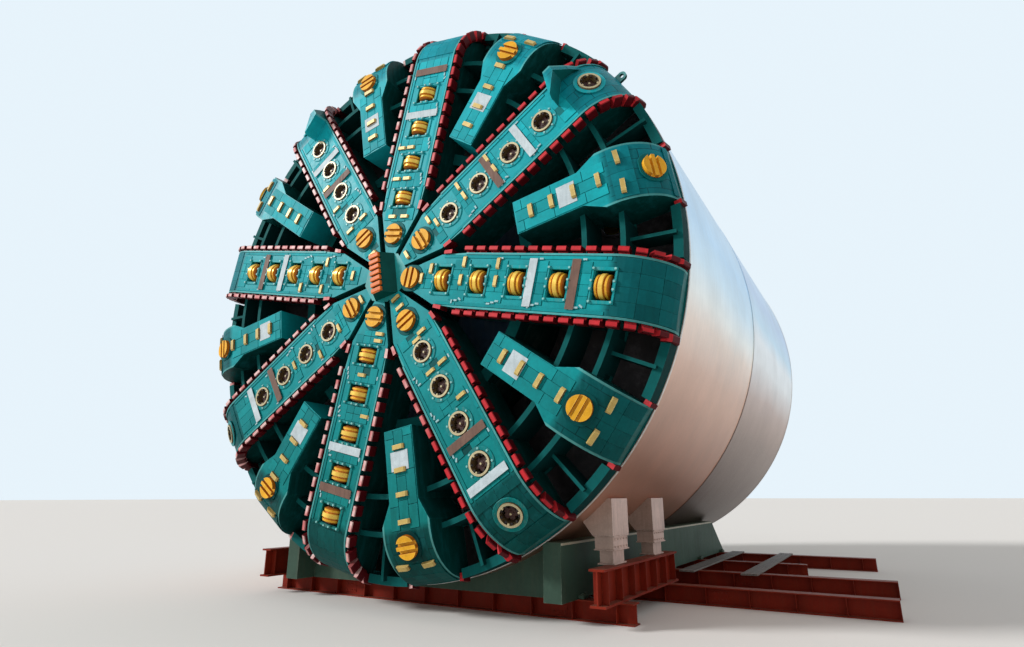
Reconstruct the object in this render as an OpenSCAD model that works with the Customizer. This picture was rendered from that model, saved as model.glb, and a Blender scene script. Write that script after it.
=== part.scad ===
// Tunnel boring machine: an earth pressure balance shield standing on its assembly cradle.
// Millimetres. +Z is up, the cutterhead faces -Y and the shield runs back along +Y.
// The origin lies on the floor under the base frame's first cross beam, below the tunnel axis.

/* [Overall] */
// Height of the tunnel axis above the origin
axis_h = 9350; // [9250:10:9600]
// Height of the shield's underside above the foot of the base frame
belly_h = 650; // [600:10:800]
// Outer radius of the shield and of the cutterhead's rim
shield_r = 8700; // [8600:10:8800]

/* [Cutterhead] */
// Radius of the rounded shoulder between the flat face and the rim
shoulder_r = 1400; // [1200:10:1440]
// Depth of the cutterhead from its flat face to its rear plane
head_depth = 1440; // [1440:10:1600]
// How far the flat ends of the spokes lie inside the rim
tip_inset = 40; // [30:5:80]
// Half width of a main spoke's face plate
spoke_half = 790; // [700:10:820]
// Distance from the axis at which the main spokes reach full width
spoke_full_at = 2900; // [2600:50:3200]
// Width of the narrow slots between the main spokes near the hub
slot_w = 210; // [160:10:260]
// Distance from the axis to the flats of the eight-sided hub
hub_flat = 750; // [700:10:800]
// Half width of a short spoke's inner part
arm_half = 490; // [440:10:540]
// Half width of a short spoke's outer part
arm_wide_half = 790; // [700:10:820]
// Distance from the axis to a short spoke's inner end
arm_start = 4620; // [4600:10:4800]
// Where a short spoke starts to widen
arm_flare_at = 6550; // [6400:10:6700]
// Length of the chamfer over which a short spoke widens
arm_flare = 570; // [400:10:700]
// Height of the raised bar along the edges of a main spoke
edge_bar_h = 30; // [20:5:50]
// Width of the raised bar along the edges of a main spoke
edge_bar_w = 55; // [40:5:80]
// Angle at which the head is parked, in steps of a 256th of a turn
park_steps = 9; // [0:1:32]

/* [Rings between the spokes] */
// Outer radius of the inner ring beam
ring_in_r = 4500; // [4480:10:4520]
// Outer radius of the middle ring beam
ring_mid_r = 6420; // [6350:10:6480]
// Outer radius of the outer ring beam
ring_out_r = 7420; // [7350:10:7480]
// Thickness of the middle and outer ring beams
ring_t = 140; // [100:10:180]
// Thickness of the inner ring beam and of the drum behind it
drum_t = 350; // [250:10:380]
// Thickness of the rim ring
rim_t = 240; // [180:10:300]
// Thickness of the radial ribs in the outer openings
rib_t = 90; // [60:10:120]

/* [Cutters and bits] */
// Diameter of a roller cutter over its middle ridge
cutter_d = 660; // [600:10:680]
// Width of a roller cutter
cutter_w = 430; // [400:10:460]
// How far a roller cutter stands in front of the face
cutter_proud = 190; // [140:10:220]
// Free space round a roller cutter in its pocket
cutter_gap = 40; // [20:5:50]
// Diameter of a cutter's axle
axle_d = 160; // [120:10:200]
// Depth of the grooves between a roller cutter's ridges
groove_d = 30; // [15:5:45]
// How much lower the outer ridges of a roller cutter are
ridge_step = 30; // [15:5:45]
// How deep an axle's end sits in the pocket's wall
axle_in = 60; // [40:5:80]
// Outer diameter of a round cutter cup
cup_d = 620; // [560:10:640]
// Wall thickness of a round cutter cup
cup_t = 55; // [40:5:80]
// How far a round cutter cup stands in front of the face
cup_proud = 70; // [40:5:100]
// Depth of the round holes that hold the cups
cup_depth = 340; // [250:10:400]
// Spacing of the edge bits along a spoke
bit_pitch = 412; // [380:4:460]
// Length of an edge bit along the spoke
bit_l = 270; // [220:10:300]
// How far an edge bit stands out sideways from the spoke
bit_side = 190; // [150:5:200]
// How far an edge bit stands in front of the face
bit_proud = 70; // [40:5:90]
// Depth of an edge bit
bit_deep = 250; // [200:10:300]
// Distance from the axis to the first edge bit beside a spoke of full width
bit_first = 2980; // [2900:20:3200]
// Distance from the axis to the edge bit beside the narrowing part of a main spoke
bit_inner = 2280; // [2250:10:2300]
// Length of the large bits at the rim
gauge_l = 500; // [440:10:520]
// Angle round the shoulder of the large bits at the rim
gauge_turn = 76; // [75:0.5:77]
// How much wider those bits are on a spoke's lower side
gauge_wide = 60; // [0:10:80]
// Length of the bits at the outer corners of the short spokes
corner_l = 300; // [240:10:320]
// Width of the bits at the outer corners of the short spokes
corner_w = 120; // [90:5:140]
// Length and width of a face bit on a short spoke
face_bit_l = 400; // [340:10:460]
face_bit_w = 125; // [100:5:160]
// Distance of the two shoulder bits from a short spoke's middle
bit_fan = 420; // [380:10:460]
// How far a face bit stands in front of the face
face_bit_h = 95; // [70:5:130]
// Length of the centre bit's cutting edge
centre_bit_l = 1300; // [1100:20:1400]
// How far the centre bit stands in front of the face
centre_bit_h = 450; // [350:10:550]
// Number of teeth on the centre bit
centre_teeth = 7; // [5:1:9]
// How far the hoods stand in front of the face
hood_h = 520; // [450:10:560]
// How far behind the face the inner ring beam starts
ring_in_front = 1000; // [900:10:1100]
// How far behind the face the middle ring beam starts
ring_mid_front = 400; // [300:10:500]
// How far behind the face the outer ring beam starts
ring_out_front = 490; // [440:10:600]
// How far behind the face the rim ring starts
rim_front = 950; // [900:10:1000]
// Width of the lifting eye
lug_w = 260; // [220:10:300]
// Radius of the hole in the lifting eye
lug_hole = 65; // [50:5:80]

/* [Shield] */
// Thickness of the shield's skin
skin_t = 80; // [60:5:100]
// Free space between the cutterhead's rear plane and the shield
head_gap = 30; // [20:5:60]
// Distance from the face to the seam between the two shield sections
seam_y = 10020; // [9800:20:10200]
// Width of the seam between the two shield sections
seam_w = 40; // [20:5:60]
// Distance from the face to the rear edge of the shield
tail_y = 20500; // [20000:50:21000]
// Depth of the shield's ring stiffeners inside the skin
stiff_d = 260; // [200:10:320]
// Thickness of the shield's ring stiffeners
stiff_t = 80; // [50:10:100]
// Distance from the face to the front of the pressure bulkhead
bulkhead_y = 3000; // [2900:20:3200]
// Thickness of the pressure bulkhead
bulkhead_t = 200; // [150:10:250]

/* [Drive and conveyor] */
// Outer radius of the main drive housing
drive_r = 5000; // [4900:10:5050]
// Length of the main drive housing behind the bulkhead
drive_l = 2200; // [2000:50:2400]
// Radius of the centre shaft behind the hub
shaft_r = 450; // [350:10:500]
// Running gap round the drum and the shaft
run_gap = 30; // [20:5:50]
// Number of places for drive motors round the housing
motor_places = 24; // [20:2:28]
// Radius of a drive motor
motor_r = 300; // [250:10:330]
// Length of a drive motor
motor_l = 1500; // [1200:50:1700]
// Outer radius of the screw conveyor's casing
screw_r = 800; // [700:10:820]
// Wall thickness of the screw conveyor's casing
screw_t = 60; // [40:5:80]
// Slope of the screw conveyor in degrees
screw_slope = 18; // [16:1:18]
// How far below the axis the screw conveyor meets the bulkhead
screw_drop = 6700; // [6680:10:6800]
// Length of the screw conveyor's casing
screw_l = 16000; // [15000:100:16400]
// Length of the discharge opening
chute_l = 1400; // [1000:50:1600]
// Thickness of the discharge gate
gate_t = 60; // [40:5:80]

/* [Thrust and erector] */
// Number of thrust jacks, in four equal groups
jacks = 32; // [24:4:36]
// Free space between the thrust shoes and the shield's skin
shoe_gap = 270; // [230:10:300]
// Radial height of a thrust shoe
shoe_h = 600; // [560:10:640]
// Width of a thrust shoe round the shield
shoe_w = 900; // [800:10:1000]
// Radius of a thrust jack's barrel
jack_r = 210; // [180:10:230]
// Length of a thrust jack's barrel
jack_l = 3000; // [2800:50:3200]
// Radius of a thrust jack's rod
rod_r = 140; // [110:10:150]
// Stroke of the thrust jacks
jack_stroke = 2500; // [2200:50:2600]
// Thickness of a thrust shoe
shoe_t = 200; // [150:10:260]
// Distance from the face to the front of the web that carries the erector
web_y = 8200; // [8100:20:8300]
// Outer radius of the erector's ring
erector_r = 5250; // [5150:10:5300]
// Radial width of the erector's ring
erector_w = 650; // [550:10:700]
// Length of the erector's ring along the axis
erector_l = 700; // [600:10:800]
// Distance from the face to the front of the erector's track
track_y = 13200; // [13000:50:13600]
// Thickness of the erector's track
track_t = 300; // [250:10:350]
// Reach of the erector's arm at rest, from the axis
arm_reach = 6300; // [6200:10:6400]
// Width of the erector's arm
erector_arm_w = 900; // [700:10:1000]
// Spacing of the three tail seals
seal_pitch = 700; // [650:10:750]
// Length of one tail seal
seal_l = 500; // [440:10:560]
// Clearance at a seat where two pieces slide or bear
seat = 0.3; // [0.2:0.1:0.8]

/* [Cradle] */
// Depth of the base frame's beams
beam_d = 500; // [400:10:520]
// Width of the base frame's beams
beam_w = 400; // [300:10:450]
// Half length of the long cross beams
beam_half = 11900; // [11000:100:12200]
// Half length of the short cross beam at the front
beam_half_front = 6400; // [6200:50:7000]
// Half length of the fourth cross beam
beam_half_fourth = 9000; // [8500:100:9500]
// Half length of the last cross beam
beam_half_rear = 11200; // [11000:100:11900]
// Distance from the face to the first cross beam
beam_first = 2600; // [2200:50:2800]
// Spacing of the cross beams along the machine
beam_pitch = 3850; // [3700:10:3900]
// Depth of the side beams that the jack feet stand on
side_beam_d = 850; // [750:10:900]
// Distance from the face to the front of the side beams
side_beam_y = 1400; // [1200:50:1800]
// Length of the side beams
side_beam_l = 5800; // [5500:50:6200]
// Distance from the axis to the side beams
side_beam_x = 5900; // [5800:10:6000]
// Distance from the axis to the outer face of a cradle girder
girder_x = 4930; // [4800:10:5000]
// Thickness of a cradle girder
girder_t = 500; // [400:10:600]
// Height of a cradle girder's top above the floor
girder_top = 1900; // [1700:10:2000]
// Distance from the face to the front of the cradle
cradle_y = 1500; // [1470:10:1800]
// Distance from the face to the rear of the cradle at its foot
cradle_end = 18700; // [18000:50:19000]
// How far the cradle's rear end leans forward at the top
cradle_lean = 1900; // [1000:50:2200]
// Thickness of the saddle plates under the shield
saddle_t = 300; // [200:10:400]
// Distance from the axis to the outer face of a side bracket
bracket_x = 6000; // [5900:10:6100]
// Height of a side bracket's outer face
bracket_h = 900; // [800:10:1000]
// Height of the sleeve below a side bracket
sleeve_h = 360; // [300:10:420]
// Width of a side bracket along the machine
bracket_w = 1100; // [900:10:1300]
// Distance from the face to the first side bracket
bracket_y = 2280; // [2200:10:2600]
// Spacing of the two side brackets
bracket_pitch = 3100; // [3000:10:3400]

/* [Hidden] */

// A round of 256 steps keeps the large circles' outermost points on the four main directions.
$fn = 256;
park = -park_steps * 360 / 256;
teal = [0.05, 0.60, 0.56];
steel = [0.66, 0.63, 0.60];
gold = [0.90, 0.58, 0.12];

flat_r = shield_r - shoulder_r;
tip_r = shield_r - tip_inset;
head_front = head_depth + head_gap;
skin_in = shield_r - skin_t;
seam_0 = seam_y - seam_w / 2;
seam_1 = seam_y + seam_w / 2;
bulkhead_1 = bulkhead_y + bulkhead_t;
drum_in = ring_in_r - drum_t;
cutter_y = cutter_d / 2 - cutter_proud;
pocket_w = cutter_w + 2 * cutter_gap;
web_t = 200;
// Height of the cradle's foot, and of the axis above it
foot_z = axis_h - shield_r - belly_h;
lift = shield_r + belly_h;
jack_at = skin_in - shoe_gap - shoe_h / 2;
jack_y = web_y + web_t + 200;
ram_y = jack_y + jack_l + seat;
erector_y = track_y + track_t + seat;
// Inner end of the erector's arm, clear of the screw conveyor when the arm points down
arm_tail = screw_drop + screw_r / cos(screw_slope)
           - (erector_y + 100 - bulkhead_1) * tan(screw_slope) + 40;

// A distance on the face, written for a shield of 8700 mm radius
function at_r(r) = r * shield_r / 8700;

// Roller cutters: spoke, first distance from the axis, spacing, count
CUTTER_ROWS = [[1, 2230, 1225, 5], [3, 2540, 1170, 4], [5, 2000, 1125, 5], [7, 2410, 1150, 5]];
// Round cups on the other spokes: spoke, first distance from the axis, spacing, count
CUP_ROWS = [[2, 2800, 1210, 4], [4, 2900, 1180, 4], [6, 2610, 1120, 4], [8, 2960, 1210, 4]];
// Angle round the shoulder of the last cup on those spokes
cup_turn = 30;
// Round cutters near the hub: direction, distance from the axis
HUB_CUTTERS = [[0, 1070], [45, 1650], [90, 1350], [135, 1700], [225, 1480], [270, 1250], [315, 1800]];
// Short spokes: turn round the shoulder of the round cutter and of the two bits
ARM_TOPS = [[48, 14], [10, 32], [5, 30], [48, 14], [10, 32], [5, 30], [16, 38], [14, 38]];
// Bits on every short spoke: distance from the axis
ARM_BITS = [5130, 5745, 6380, 7075];
// Bits on the main spokes: direction, distance from the axis, distance sideways
SPOKE_BITS = [[0, 1480, 0], [0, 1780, 300], [0, 2920, 520], [0, 2900, 0], [0, 4050, 490], [0, 4060, 0],
              [45, 1000, 0], [45, 2140, 380], [45, 2330, 80], [45, 3450, 500], [45, 3460, 70],
              [45, 4600, 490], [45, 4620, 0], [90, 1920, 240], [90, 1920, -260], [90, 3170, 420],
              [90, 3170, 0], [90, 4220, 500], [90, 4220, 130], [135, 1000, 0], [135, 2440, 340],
              [135, 2460, -300], [135, 3620, 440], [135, 4700, 440], [180, 1350, 0], [180, 2670, 500],
              [180, 2670, -420], [180, 3700, 480], [225, 1050, 0], [225, 2200, 190], [225, 3200, 440],
              [225, 4300, 0], [270, 1740, 340], [270, 1950, 340], [270, 3000, 0], [270, 4150, 480],
              [315, 920, 0], [315, 1270, 0], [315, 2430, 260], [315, 2550, 0], [315, 3630, 400],
              [315, 3640, -60], [315, 4800, 420]];

function spoke_angle(i) = 45 * (i - 1);
function arm_angle(i) = 22.5 + 45 * (i - 1);

// Moves the machine along its axis so that the origin lies under the first cross beam.
module on_base() {
    translate([0, -beam_first, 0]) children();
}

// Turns a shape drawn along +X, with Z sideways, into a direction of the parked head.
module along(a) {
    translate([0, 0, axis_h]) rotate([0, -(a + park), 0]) children();
}

// Puts a shape on the shoulder: X outward along the surface, Y into the head.
module on_shoulder(turn) {
    translate([flat_r + shoulder_r * sin(turn), shoulder_r - shoulder_r * cos(turn), 0])
        rotate([0, 0, turn]) children();
}

// Extrudes an outline drawn in X and Z from one depth to another.
module plan(y0, y1) {
    translate([0, y1, 0]) rotate([90, 0, 0]) linear_extrude(y1 - y0) children();
}

// Revolves an outline of radius and depth about the tunnel axis.
module turned() {
    rotate([-90, 0, 0]) rotate_extrude() children();
}

// A ring about the tunnel axis.
module ring(r_in, r_out, y0, y1) {
    turned() translate([r_in, y0]) square([r_out - r_in, y1 - y0]);
}

// A round bar along Y.
module bar_y(r, y0, y1) {
    translate([0, y0, 0]) rotate([-90, 0, 0]) cylinder(r = r, h = y1 - y0);
}

// A round bar along X.
module bar_x(r, x0, x1) {
    translate([x0, 0, 0]) rotate([0, 90, 0]) cylinder(r = r, h = x1 - x0);
}

// Section of the head: flat face, round shoulder and rim, moved outward by a rise.
module head_section(rise = 0) {
    translate([0, -rise]) square([flat_r, head_depth + rise]);
    translate([flat_r, shoulder_r]) square([shoulder_r + rise, head_depth - shoulder_r]);
    intersection() {
        translate([flat_r, shoulder_r]) circle(shoulder_r + rise);
        translate([flat_r, -rise]) square(shoulder_r + rise);
    }
}

// The head's solid of revolution, with its seam away from the spoke that is cut from it.
module head_solid(rise = 0) {
    rotate([0, 180, 0]) turned() head_section(rise);
}

// Half width of a main spoke where the slots bound it
function slot_half(r) = (r * sin(22.5) - slot_w / 2) / cos(22.5);
spoke_corner = (0.92 * spoke_half * cos(22.5) + slot_w / 2) / sin(22.5);

module main_outline(m = 0) {
    top = [[hub_flat, slot_half(hub_flat) + m], [spoke_corner, slot_half(spoke_corner) + m],
           [spoke_full_at, spoke_half + m], [tip_r + m, spoke_half + m]];
    polygon(concat(top, [for (i = [len(top) - 1:-1:0]) [top[i][0], -top[i][1]]]));
}

module short_outline(m = 0) {
    top = [[arm_start - m, arm_half + m], [arm_flare_at - m / 2, arm_half + m],
           [arm_flare_at + arm_flare - m / 2, arm_wide_half + m], [tip_r + m, arm_wide_half + m]];
    polygon(concat(top, [for (i = [len(top) - 1:-1:0]) [top[i][0], -top[i][1]]]));
}

// The raised bars along both edges, as an outline.
module edge_bars_outline() {
    for (s = [0, 1]) mirror([0, s])
        translate([spoke_full_at, spoke_half - edge_bar_w])
            square([tip_r - spoke_full_at, edge_bar_w]);
}

// Pocket of one roller cutter with the seats of its axle.
module cutter_pocket(r) {
    translate([r - pocket_w / 2, -1000, -cutter_d / 2 - cutter_gap])
        cube([pocket_w, 1000 + cutter_y + cutter_d / 2 + cutter_gap, cutter_d + 2 * cutter_gap]);
    translate([r, cutter_y, 0])
        bar_x(axle_d / 2 + 2, -pocket_w / 2 - axle_in - seat, pocket_w / 2 + axle_in + seat);
}

// Hole of one round cup.
module cup_hole() {
    bar_y(cup_d / 2, -600, cup_depth);
}

module main_spoke(i) {
    color(teal) along(spoke_angle(i)) difference() {
        union() {
            intersection() {
                head_solid();
                plan(-10, head_depth) main_outline();
            }
            intersection() {
                head_solid(edge_bar_h);
                plan(-100, head_depth) edge_bars_outline();
            }
        }
        for (row = CUTTER_ROWS) if (row[0] == i)
            for (n = [0:row[3] - 1]) cutter_pocket(at_r(row[1] + n * row[2]));
        for (row = CUP_ROWS) if (row[0] == i) {
            for (n = [0:row[3] - 1]) translate([at_r(row[1] + n * row[2]), 0, 0]) cup_hole();
            on_shoulder(cup_turn) cup_hole();
        }
        for (c = HUB_CUTTERS) if (c[0] == spoke_angle(i)) translate([at_r(c[1]), 0, 0]) cup_hole();
    }
    if (i == 2) color(teal) along(spoke_angle(i)) {
        hood(1);
        lifting_eye();
    }
    if (i == 4) color(teal) along(spoke_angle(i)) hood(-1);
}

// Hood that shields the last cup: a slanting plate with a sloped back, on the side given by s.
module hood(s) {
    x0 = flat_r - 300;
    intersection() {
        plan(-1000, 900)
            polygon([[x0, 0], [x0 + 270, s * spoke_half], [x0 + 1200, s * spoke_half],
                     [x0 + 1200, s * (spoke_half - 170)], [x0 + 500, s * (spoke_half - 200)]]);
        translate([x0, 0, -spoke_half]) linear_extrude(2 * spoke_half)
            polygon([[-150, 200], [-150, 0], [50, -hood_h], [500, -hood_h],
                     [850, -100], [1250, 500], [1250, 900]]);
    }
}

// Lifting eye on the flat tip of a spoke.
module lifting_eye() {
    out = tip_r + lug_w / 2 + 40;
    translate([0, 1150, 235]) difference() {
        union() {
            translate([tip_r - 60, 0, -lug_w / 2]) cube([out - tip_r + 60, 90, lug_w]);
            translate([out, 0, 0]) bar_y(lug_w / 2, 0, 90);
        }
        translate([out, 0, 0]) bar_y(lug_hole, -10, 100);
    }
}

module short_spoke(i) {
    color(teal) along(arm_angle(i)) difference() {
        intersection() {
            head_solid();
            plan(-10, head_depth) short_outline();
        }
        on_shoulder(ARM_TOPS[i - 1][0]) cup_hole();
    }
}

// Everything that the sixteen spokes fill, so that the rings stop at their sides.
module spoke_field() {
    for (i = [1:8]) {
        rotate([0, -spoke_angle(i), 0]) plan(-10, head_depth + 10) main_outline(seat);
        rotate([0, -arm_angle(i), 0]) plan(-10, head_depth + 10) short_outline(seat);
    }
}

module ring_beams() {
    rib_y = 800;
    bit_out = spoke_half + bit_side + gauge_wide + 10;
    corner_out = arm_wide_half + corner_w + 10;
    color(teal) along(0) difference() {
        union() {
            ring(drum_in, ring_in_r, ring_in_front, head_depth - seat);
            ring(ring_mid_r - ring_t, ring_mid_r, ring_mid_front, head_depth);
            ring(ring_out_r - ring_t, ring_out_r, ring_out_front, head_depth);
            ring(shield_r - rim_t, shield_r, rim_front, head_depth);
            for (k = [0:15]) rotate([0, -(11.25 + 22.5 * k), 0])
                translate([ring_out_r - ring_t / 2, rib_y, -rib_t / 2])
                    cube([shield_r - rim_t / 2 - ring_out_r + ring_t / 2, head_depth - rib_y, rib_t]);
        }
        spoke_field();
        // Room in the rim for the bits at the ends of the spokes
        for (i = [1:8]) {
            rotate([0, -spoke_angle(i), 0]) plan(rim_front - 50, head_depth - 60)
                translate([flat_r, -bit_out]) square([2 * shoulder_r, 2 * bit_out]);
            rotate([0, -arm_angle(i), 0]) plan(rim_front - 50, head_depth - 60)
                translate([flat_r, -corner_out]) square([2 * shoulder_r, 2 * corner_out]);
        }
    }
}

module head_drum() {
    shoulder_y = bulkhead_y - seat;
    back = head_depth + seat;
    flat = hub_flat - seat;
    color(teal) along(0) {
        // Eight-sided hub block with the centre column and shaft
        plan(0, back + 10) rotate(22.5) circle(r = flat / cos(22.5), $fn = 8);
        bar_y(2 * shaft_r, back, shoulder_y);
        bar_y(shaft_r, shoulder_y, bulkhead_1 + 400);
        // Drum that turns in the main drive
        ring(drum_in, ring_in_r, back, bulkhead_1 + 800);
    }
}

module centre_bit() {
    half = centre_bit_l / 2;
    tooth = centre_bit_l / centre_teeth;
    color([0.95, 0.40, 0.15]) along(112.5) difference() {
        rotate([0, 90, 0]) linear_extrude(2 * half, center = true)
            polygon([[-430, -seat], [-130, -centre_bit_h], [130, -centre_bit_h], [430, -seat]]);
        for (k = [1:centre_teeth - 1])
            translate([k * tooth - half - 25, -centre_bit_h - 10, -500]) cube([50, 110, 1000]);
    }
}

// One roller cutter: a barrel with three ridges and two grooves on its axle, about X.
module roller_cutter() {
    r = cutter_d / 2;
    w = cutter_w / 2;
    low = r - ridge_step - groove_d;
    side = [[r, 0.24 * w], [r - 15, 0.29 * w], [low, 0.32 * w], [low, 0.46 * w],
            [r - ridge_step, 0.50 * w], [r - ridge_step, 0.74 * w],
            [r - ridge_step - 60, 0.90 * w], [r - ridge_step - 100, w], [0, w]];
    rotate([0, 90, 0]) rotate_extrude()
        polygon(concat(side, [for (i = [len(side) - 1:-1:0]) [side[i][0], -side[i][1]]]));
    bar_x(axle_d / 2, -pocket_w / 2 - axle_in, pocket_w / 2 + axle_in);
}

module cutter_row(i) {
    color(gold) along(spoke_angle(i))
        for (row = CUTTER_ROWS) if (row[0] == i)
            for (n = [0:row[3] - 1]) translate([at_r(row[1] + n * row[2]), cutter_y, 0]) roller_cutter();
}

// A round cup: a wall that lines its hole and a floor.
module cup() {
    difference() {
        bar_y(cup_d / 2 - seat, -cup_proud, cup_depth - seat);
        bar_y(cup_d / 2 - cup_t, -cup_proud - 10, cup_depth - 60);
    }
}

module cutter_cups() {
    color([0.80, 0.66, 0.40])
        for (row = CUP_ROWS) along(spoke_angle(row[0])) {
            for (n = [0:row[3] - 1]) translate([at_r(row[1] + n * row[2]), 0, 0]) cup();
            on_shoulder(cup_turn) cup();
        }
}

// A round cutter that fills its hole: a cup with two ridges across.
module round_cutter() {
    difference() {
        bar_y(cup_d / 2 - seat, -cup_proud - 60, cup_depth - seat);
        for (z = [-1, 1]) translate([z * 95 - 45, -cup_proud - 100, -400]) cube([90, 130, 800]);
    }
}

module fixed_cutters() {
    color(gold) {
        for (c = HUB_CUTTERS) along(c[0]) translate([at_r(c[1]), 0, 0]) round_cutter();
        for (i = [1:8]) along(arm_angle(i)) on_shoulder(ARM_TOPS[i - 1][0]) round_cutter();
    }
}

// Section of an edge bit: its root on the spoke's side and its head in front, as sideways and depth.
module bit_section(wide = 0) {
    out = bit_side + wide;
    polygon([[seat, bit_deep], [seat, 60], [60, 60], [60, -bit_proud + 20], [80, -bit_proud],
             [out - 20, -bit_proud], [out, -bit_proud + 20], [out, bit_deep - 60], [out - 30, bit_deep]]);
}

// A bit beside a spoke whose half width is given, on the side given by s.
module side_bit(half, s, length, wide = 0) {
    mirror([0, 0, s > 0 ? 0 : 1]) translate([-length / 2, 0, half])
        rotate([0, 90, 0]) mirror([1, 0, 0]) linear_extrude(length) bit_section(wide);
}

// Large bit at the rim, with its ends chamfered round the shoulder.
module gauge_bit(s) {
    wide = s < 0 ? gauge_wide : 0;
    l = gauge_l / 2;
    intersection() {
        side_bit(spoke_half, s, gauge_l, wide);
        translate([0, 0, -2 * spoke_half]) linear_extrude(4 * spoke_half)
            polygon([[-l, bit_deep - 50], [-l, 20], [-l + 90, -bit_proud], [l - 90, -bit_proud],
                     [l, 20], [l, bit_deep - 50]]);
    }
}

// Bit beside the narrowing inner part of a main spoke, bounded by the slot.
module inner_bit(s) {
    r0 = bit_inner - bit_l / 2;
    r1 = bit_inner + bit_l / 2;
    lean = (spoke_half - slot_half(spoke_corner)) / (spoke_full_at - spoke_corner);
    low = slot_half(spoke_corner) - lean * spoke_corner + seat;
    plan(-bit_proud, bit_deep)
        polygon([[r0, s * (low + lean * r0)], [r1, s * (low + lean * r1)],
                 [r1, s * (low + lean * r1 + 115)], [r0, s * (low + lean * r0 + 100)]]);
}

module edge_bits() {
    flat_count = floor((flat_r - bit_first) / bit_pitch);
    turn_step = bit_pitch / shoulder_r * 180 / PI;
    turn_first = (bit_first + (flat_count + 1) * bit_pitch - flat_r) / shoulder_r * 180 / PI;
    turn_last = gauge_turn - (gauge_l + bit_l) / 2 / shoulder_r * 180 / PI;
    color([0.85, 0.12, 0.12]) for (i = [1:8]) {
        along(spoke_angle(i)) for (s = [-1, 1]) {
            inner_bit(s);
            for (n = [0:flat_count])
                translate([bit_first + n * bit_pitch, 0, 0]) side_bit(spoke_half, s, bit_l);
            for (t = [turn_first:turn_step:turn_last]) on_shoulder(t) side_bit(spoke_half, s, bit_l);
            on_shoulder(gauge_turn) gauge_bit(s);
        }
        along(arm_angle(i)) for (z = [arm_wide_half + seat, -arm_wide_half - seat - corner_w])
            on_shoulder(80) translate([-corner_l / 2, -50, z]) cube([corner_l, 200, corner_w]);
    }
}

// A face bit with a bevelled edge, standing on the face.
module face_bit() {
    l = face_bit_l / 2;
    rotate([0, 90, 0]) linear_extrude(face_bit_w, center = true)
        polygon([[-l, -seat], [-l, -0.6 * face_bit_h], [-l + 45, -face_bit_h],
                 [l - 45, -face_bit_h], [l, -0.6 * face_bit_h], [l, -seat]]);
}

module face_bits() {
    color([0.90, 0.85, 0.62]) {
        for (b = SPOKE_BITS) along(b[0]) translate([at_r(b[1]), 0, b[2]]) scale(0.8) face_bit();
        for (i = [1:8]) along(arm_angle(i)) {
            turn = ARM_TOPS[i - 1];
            // The last bit on the flat stays clear of the round cutter
            last = flat_r + shoulder_r * sin(turn[0]) - cup_d / 2 - face_bit_w / 2 - 30;
            for (r = ARM_BITS) translate([min(at_r(r), last), 0, 0]) face_bit();
            // The two bits on the shoulder follow its round
            fan = asin(bit_fan / (flat_r + shoulder_r * sin(turn[1])));
            for (s = [-1, 1]) rotate([0, s * fan, 0]) on_shoulder(turn[1]) face_bit();
        }
    }
}

// Ring stiffeners inside the skin at the places given.
module stiffeners(places) {
    for (y = places) ring(skin_in - stiff_d, skin_in + skin_t / 2, y, y + stiff_t);
}

module front_shield() {
    color(steel) translate([0, 0, axis_h]) {
        ring(skin_in, shield_r, head_front, seam_0);
        stiffeners([bulkhead_1, 4300, 5400, 6500, 7600, web_y + web_t, seam_0 - stiff_t]);
    }
}

module rear_shield() {
    color(steel) translate([0, 0, axis_h]) {
        ring(skin_in, shield_r, seam_1, tail_y);
        stiffeners([seam_1]);
        for (k = [0:2]) let (y = tail_y - 600 - k * seal_pitch)
            ring(skin_in - 60, skin_in + skin_t / 2, y, y + 40);
    }
}

module seam_ring() {
    color([0.12, 0.10, 0.10]) translate([0, 0, axis_h])
        ring(skin_in - stiff_d, shield_r - 25, seam_0, seam_1);
}

module bulkhead() {
    color([0.30, 0.33, 0.36]) translate([0, 0, axis_h]) difference() {
        ring(ring_in_r + run_gap + 60, skin_in - 20, bulkhead_y, bulkhead_1);
        translate([0, 0, -screw_drop]) bar_y(screw_r + 120, 0, 6000);
        for (s = [-1, 1]) translate([s * at_r(6200), 0, 1500]) bar_y(420, 0, 6000);
    }
}

module main_drive() {
    groove_in = drum_in - run_gap;
    groove_out = ring_in_r + run_gap;
    color([0.35, 0.45, 0.55]) translate([0, 0, axis_h]) difference() {
        union() {
            ring(shaft_r + 5, groove_in, bulkhead_y, bulkhead_1);
            ring(groove_in - 500, drive_r, bulkhead_1, bulkhead_1 + drive_l);
            ring(shaft_r + 5, groove_in - 400, bulkhead_1, bulkhead_1 + 100);
            ring(drive_r - 100, drive_r + 300, bulkhead_1, bulkhead_1 + 150);
        }
        ring(groove_in, groove_out, bulkhead_y - 10, bulkhead_1 + 800 + run_gap);
    }
}

module drive_motors() {
    y0 = bulkhead_1 + drive_l + seat;
    at = (drum_in + ring_in_r) / 2;
    color([0.25, 0.35, 0.60]) translate([0, 0, axis_h])
        for (k = [0:motor_places - 1]) let (a = 360 / motor_places * (k + 0.5))
            if (abs(a - 270) > 20) rotate([0, -a, 0]) translate([at, 0, 0]) {
                bar_y(motor_r + 60, y0, y0 + 400);
                bar_y(motor_r, y0 + 400, y0 + 400 + motor_l);
            }
}

// Frame of the screw conveyor: Y runs up its slope from the bulkhead.
module on_screw() {
    translate([0, bulkhead_1, axis_h - screw_drop]) rotate([screw_slope, 0, 0]) children();
}

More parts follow.
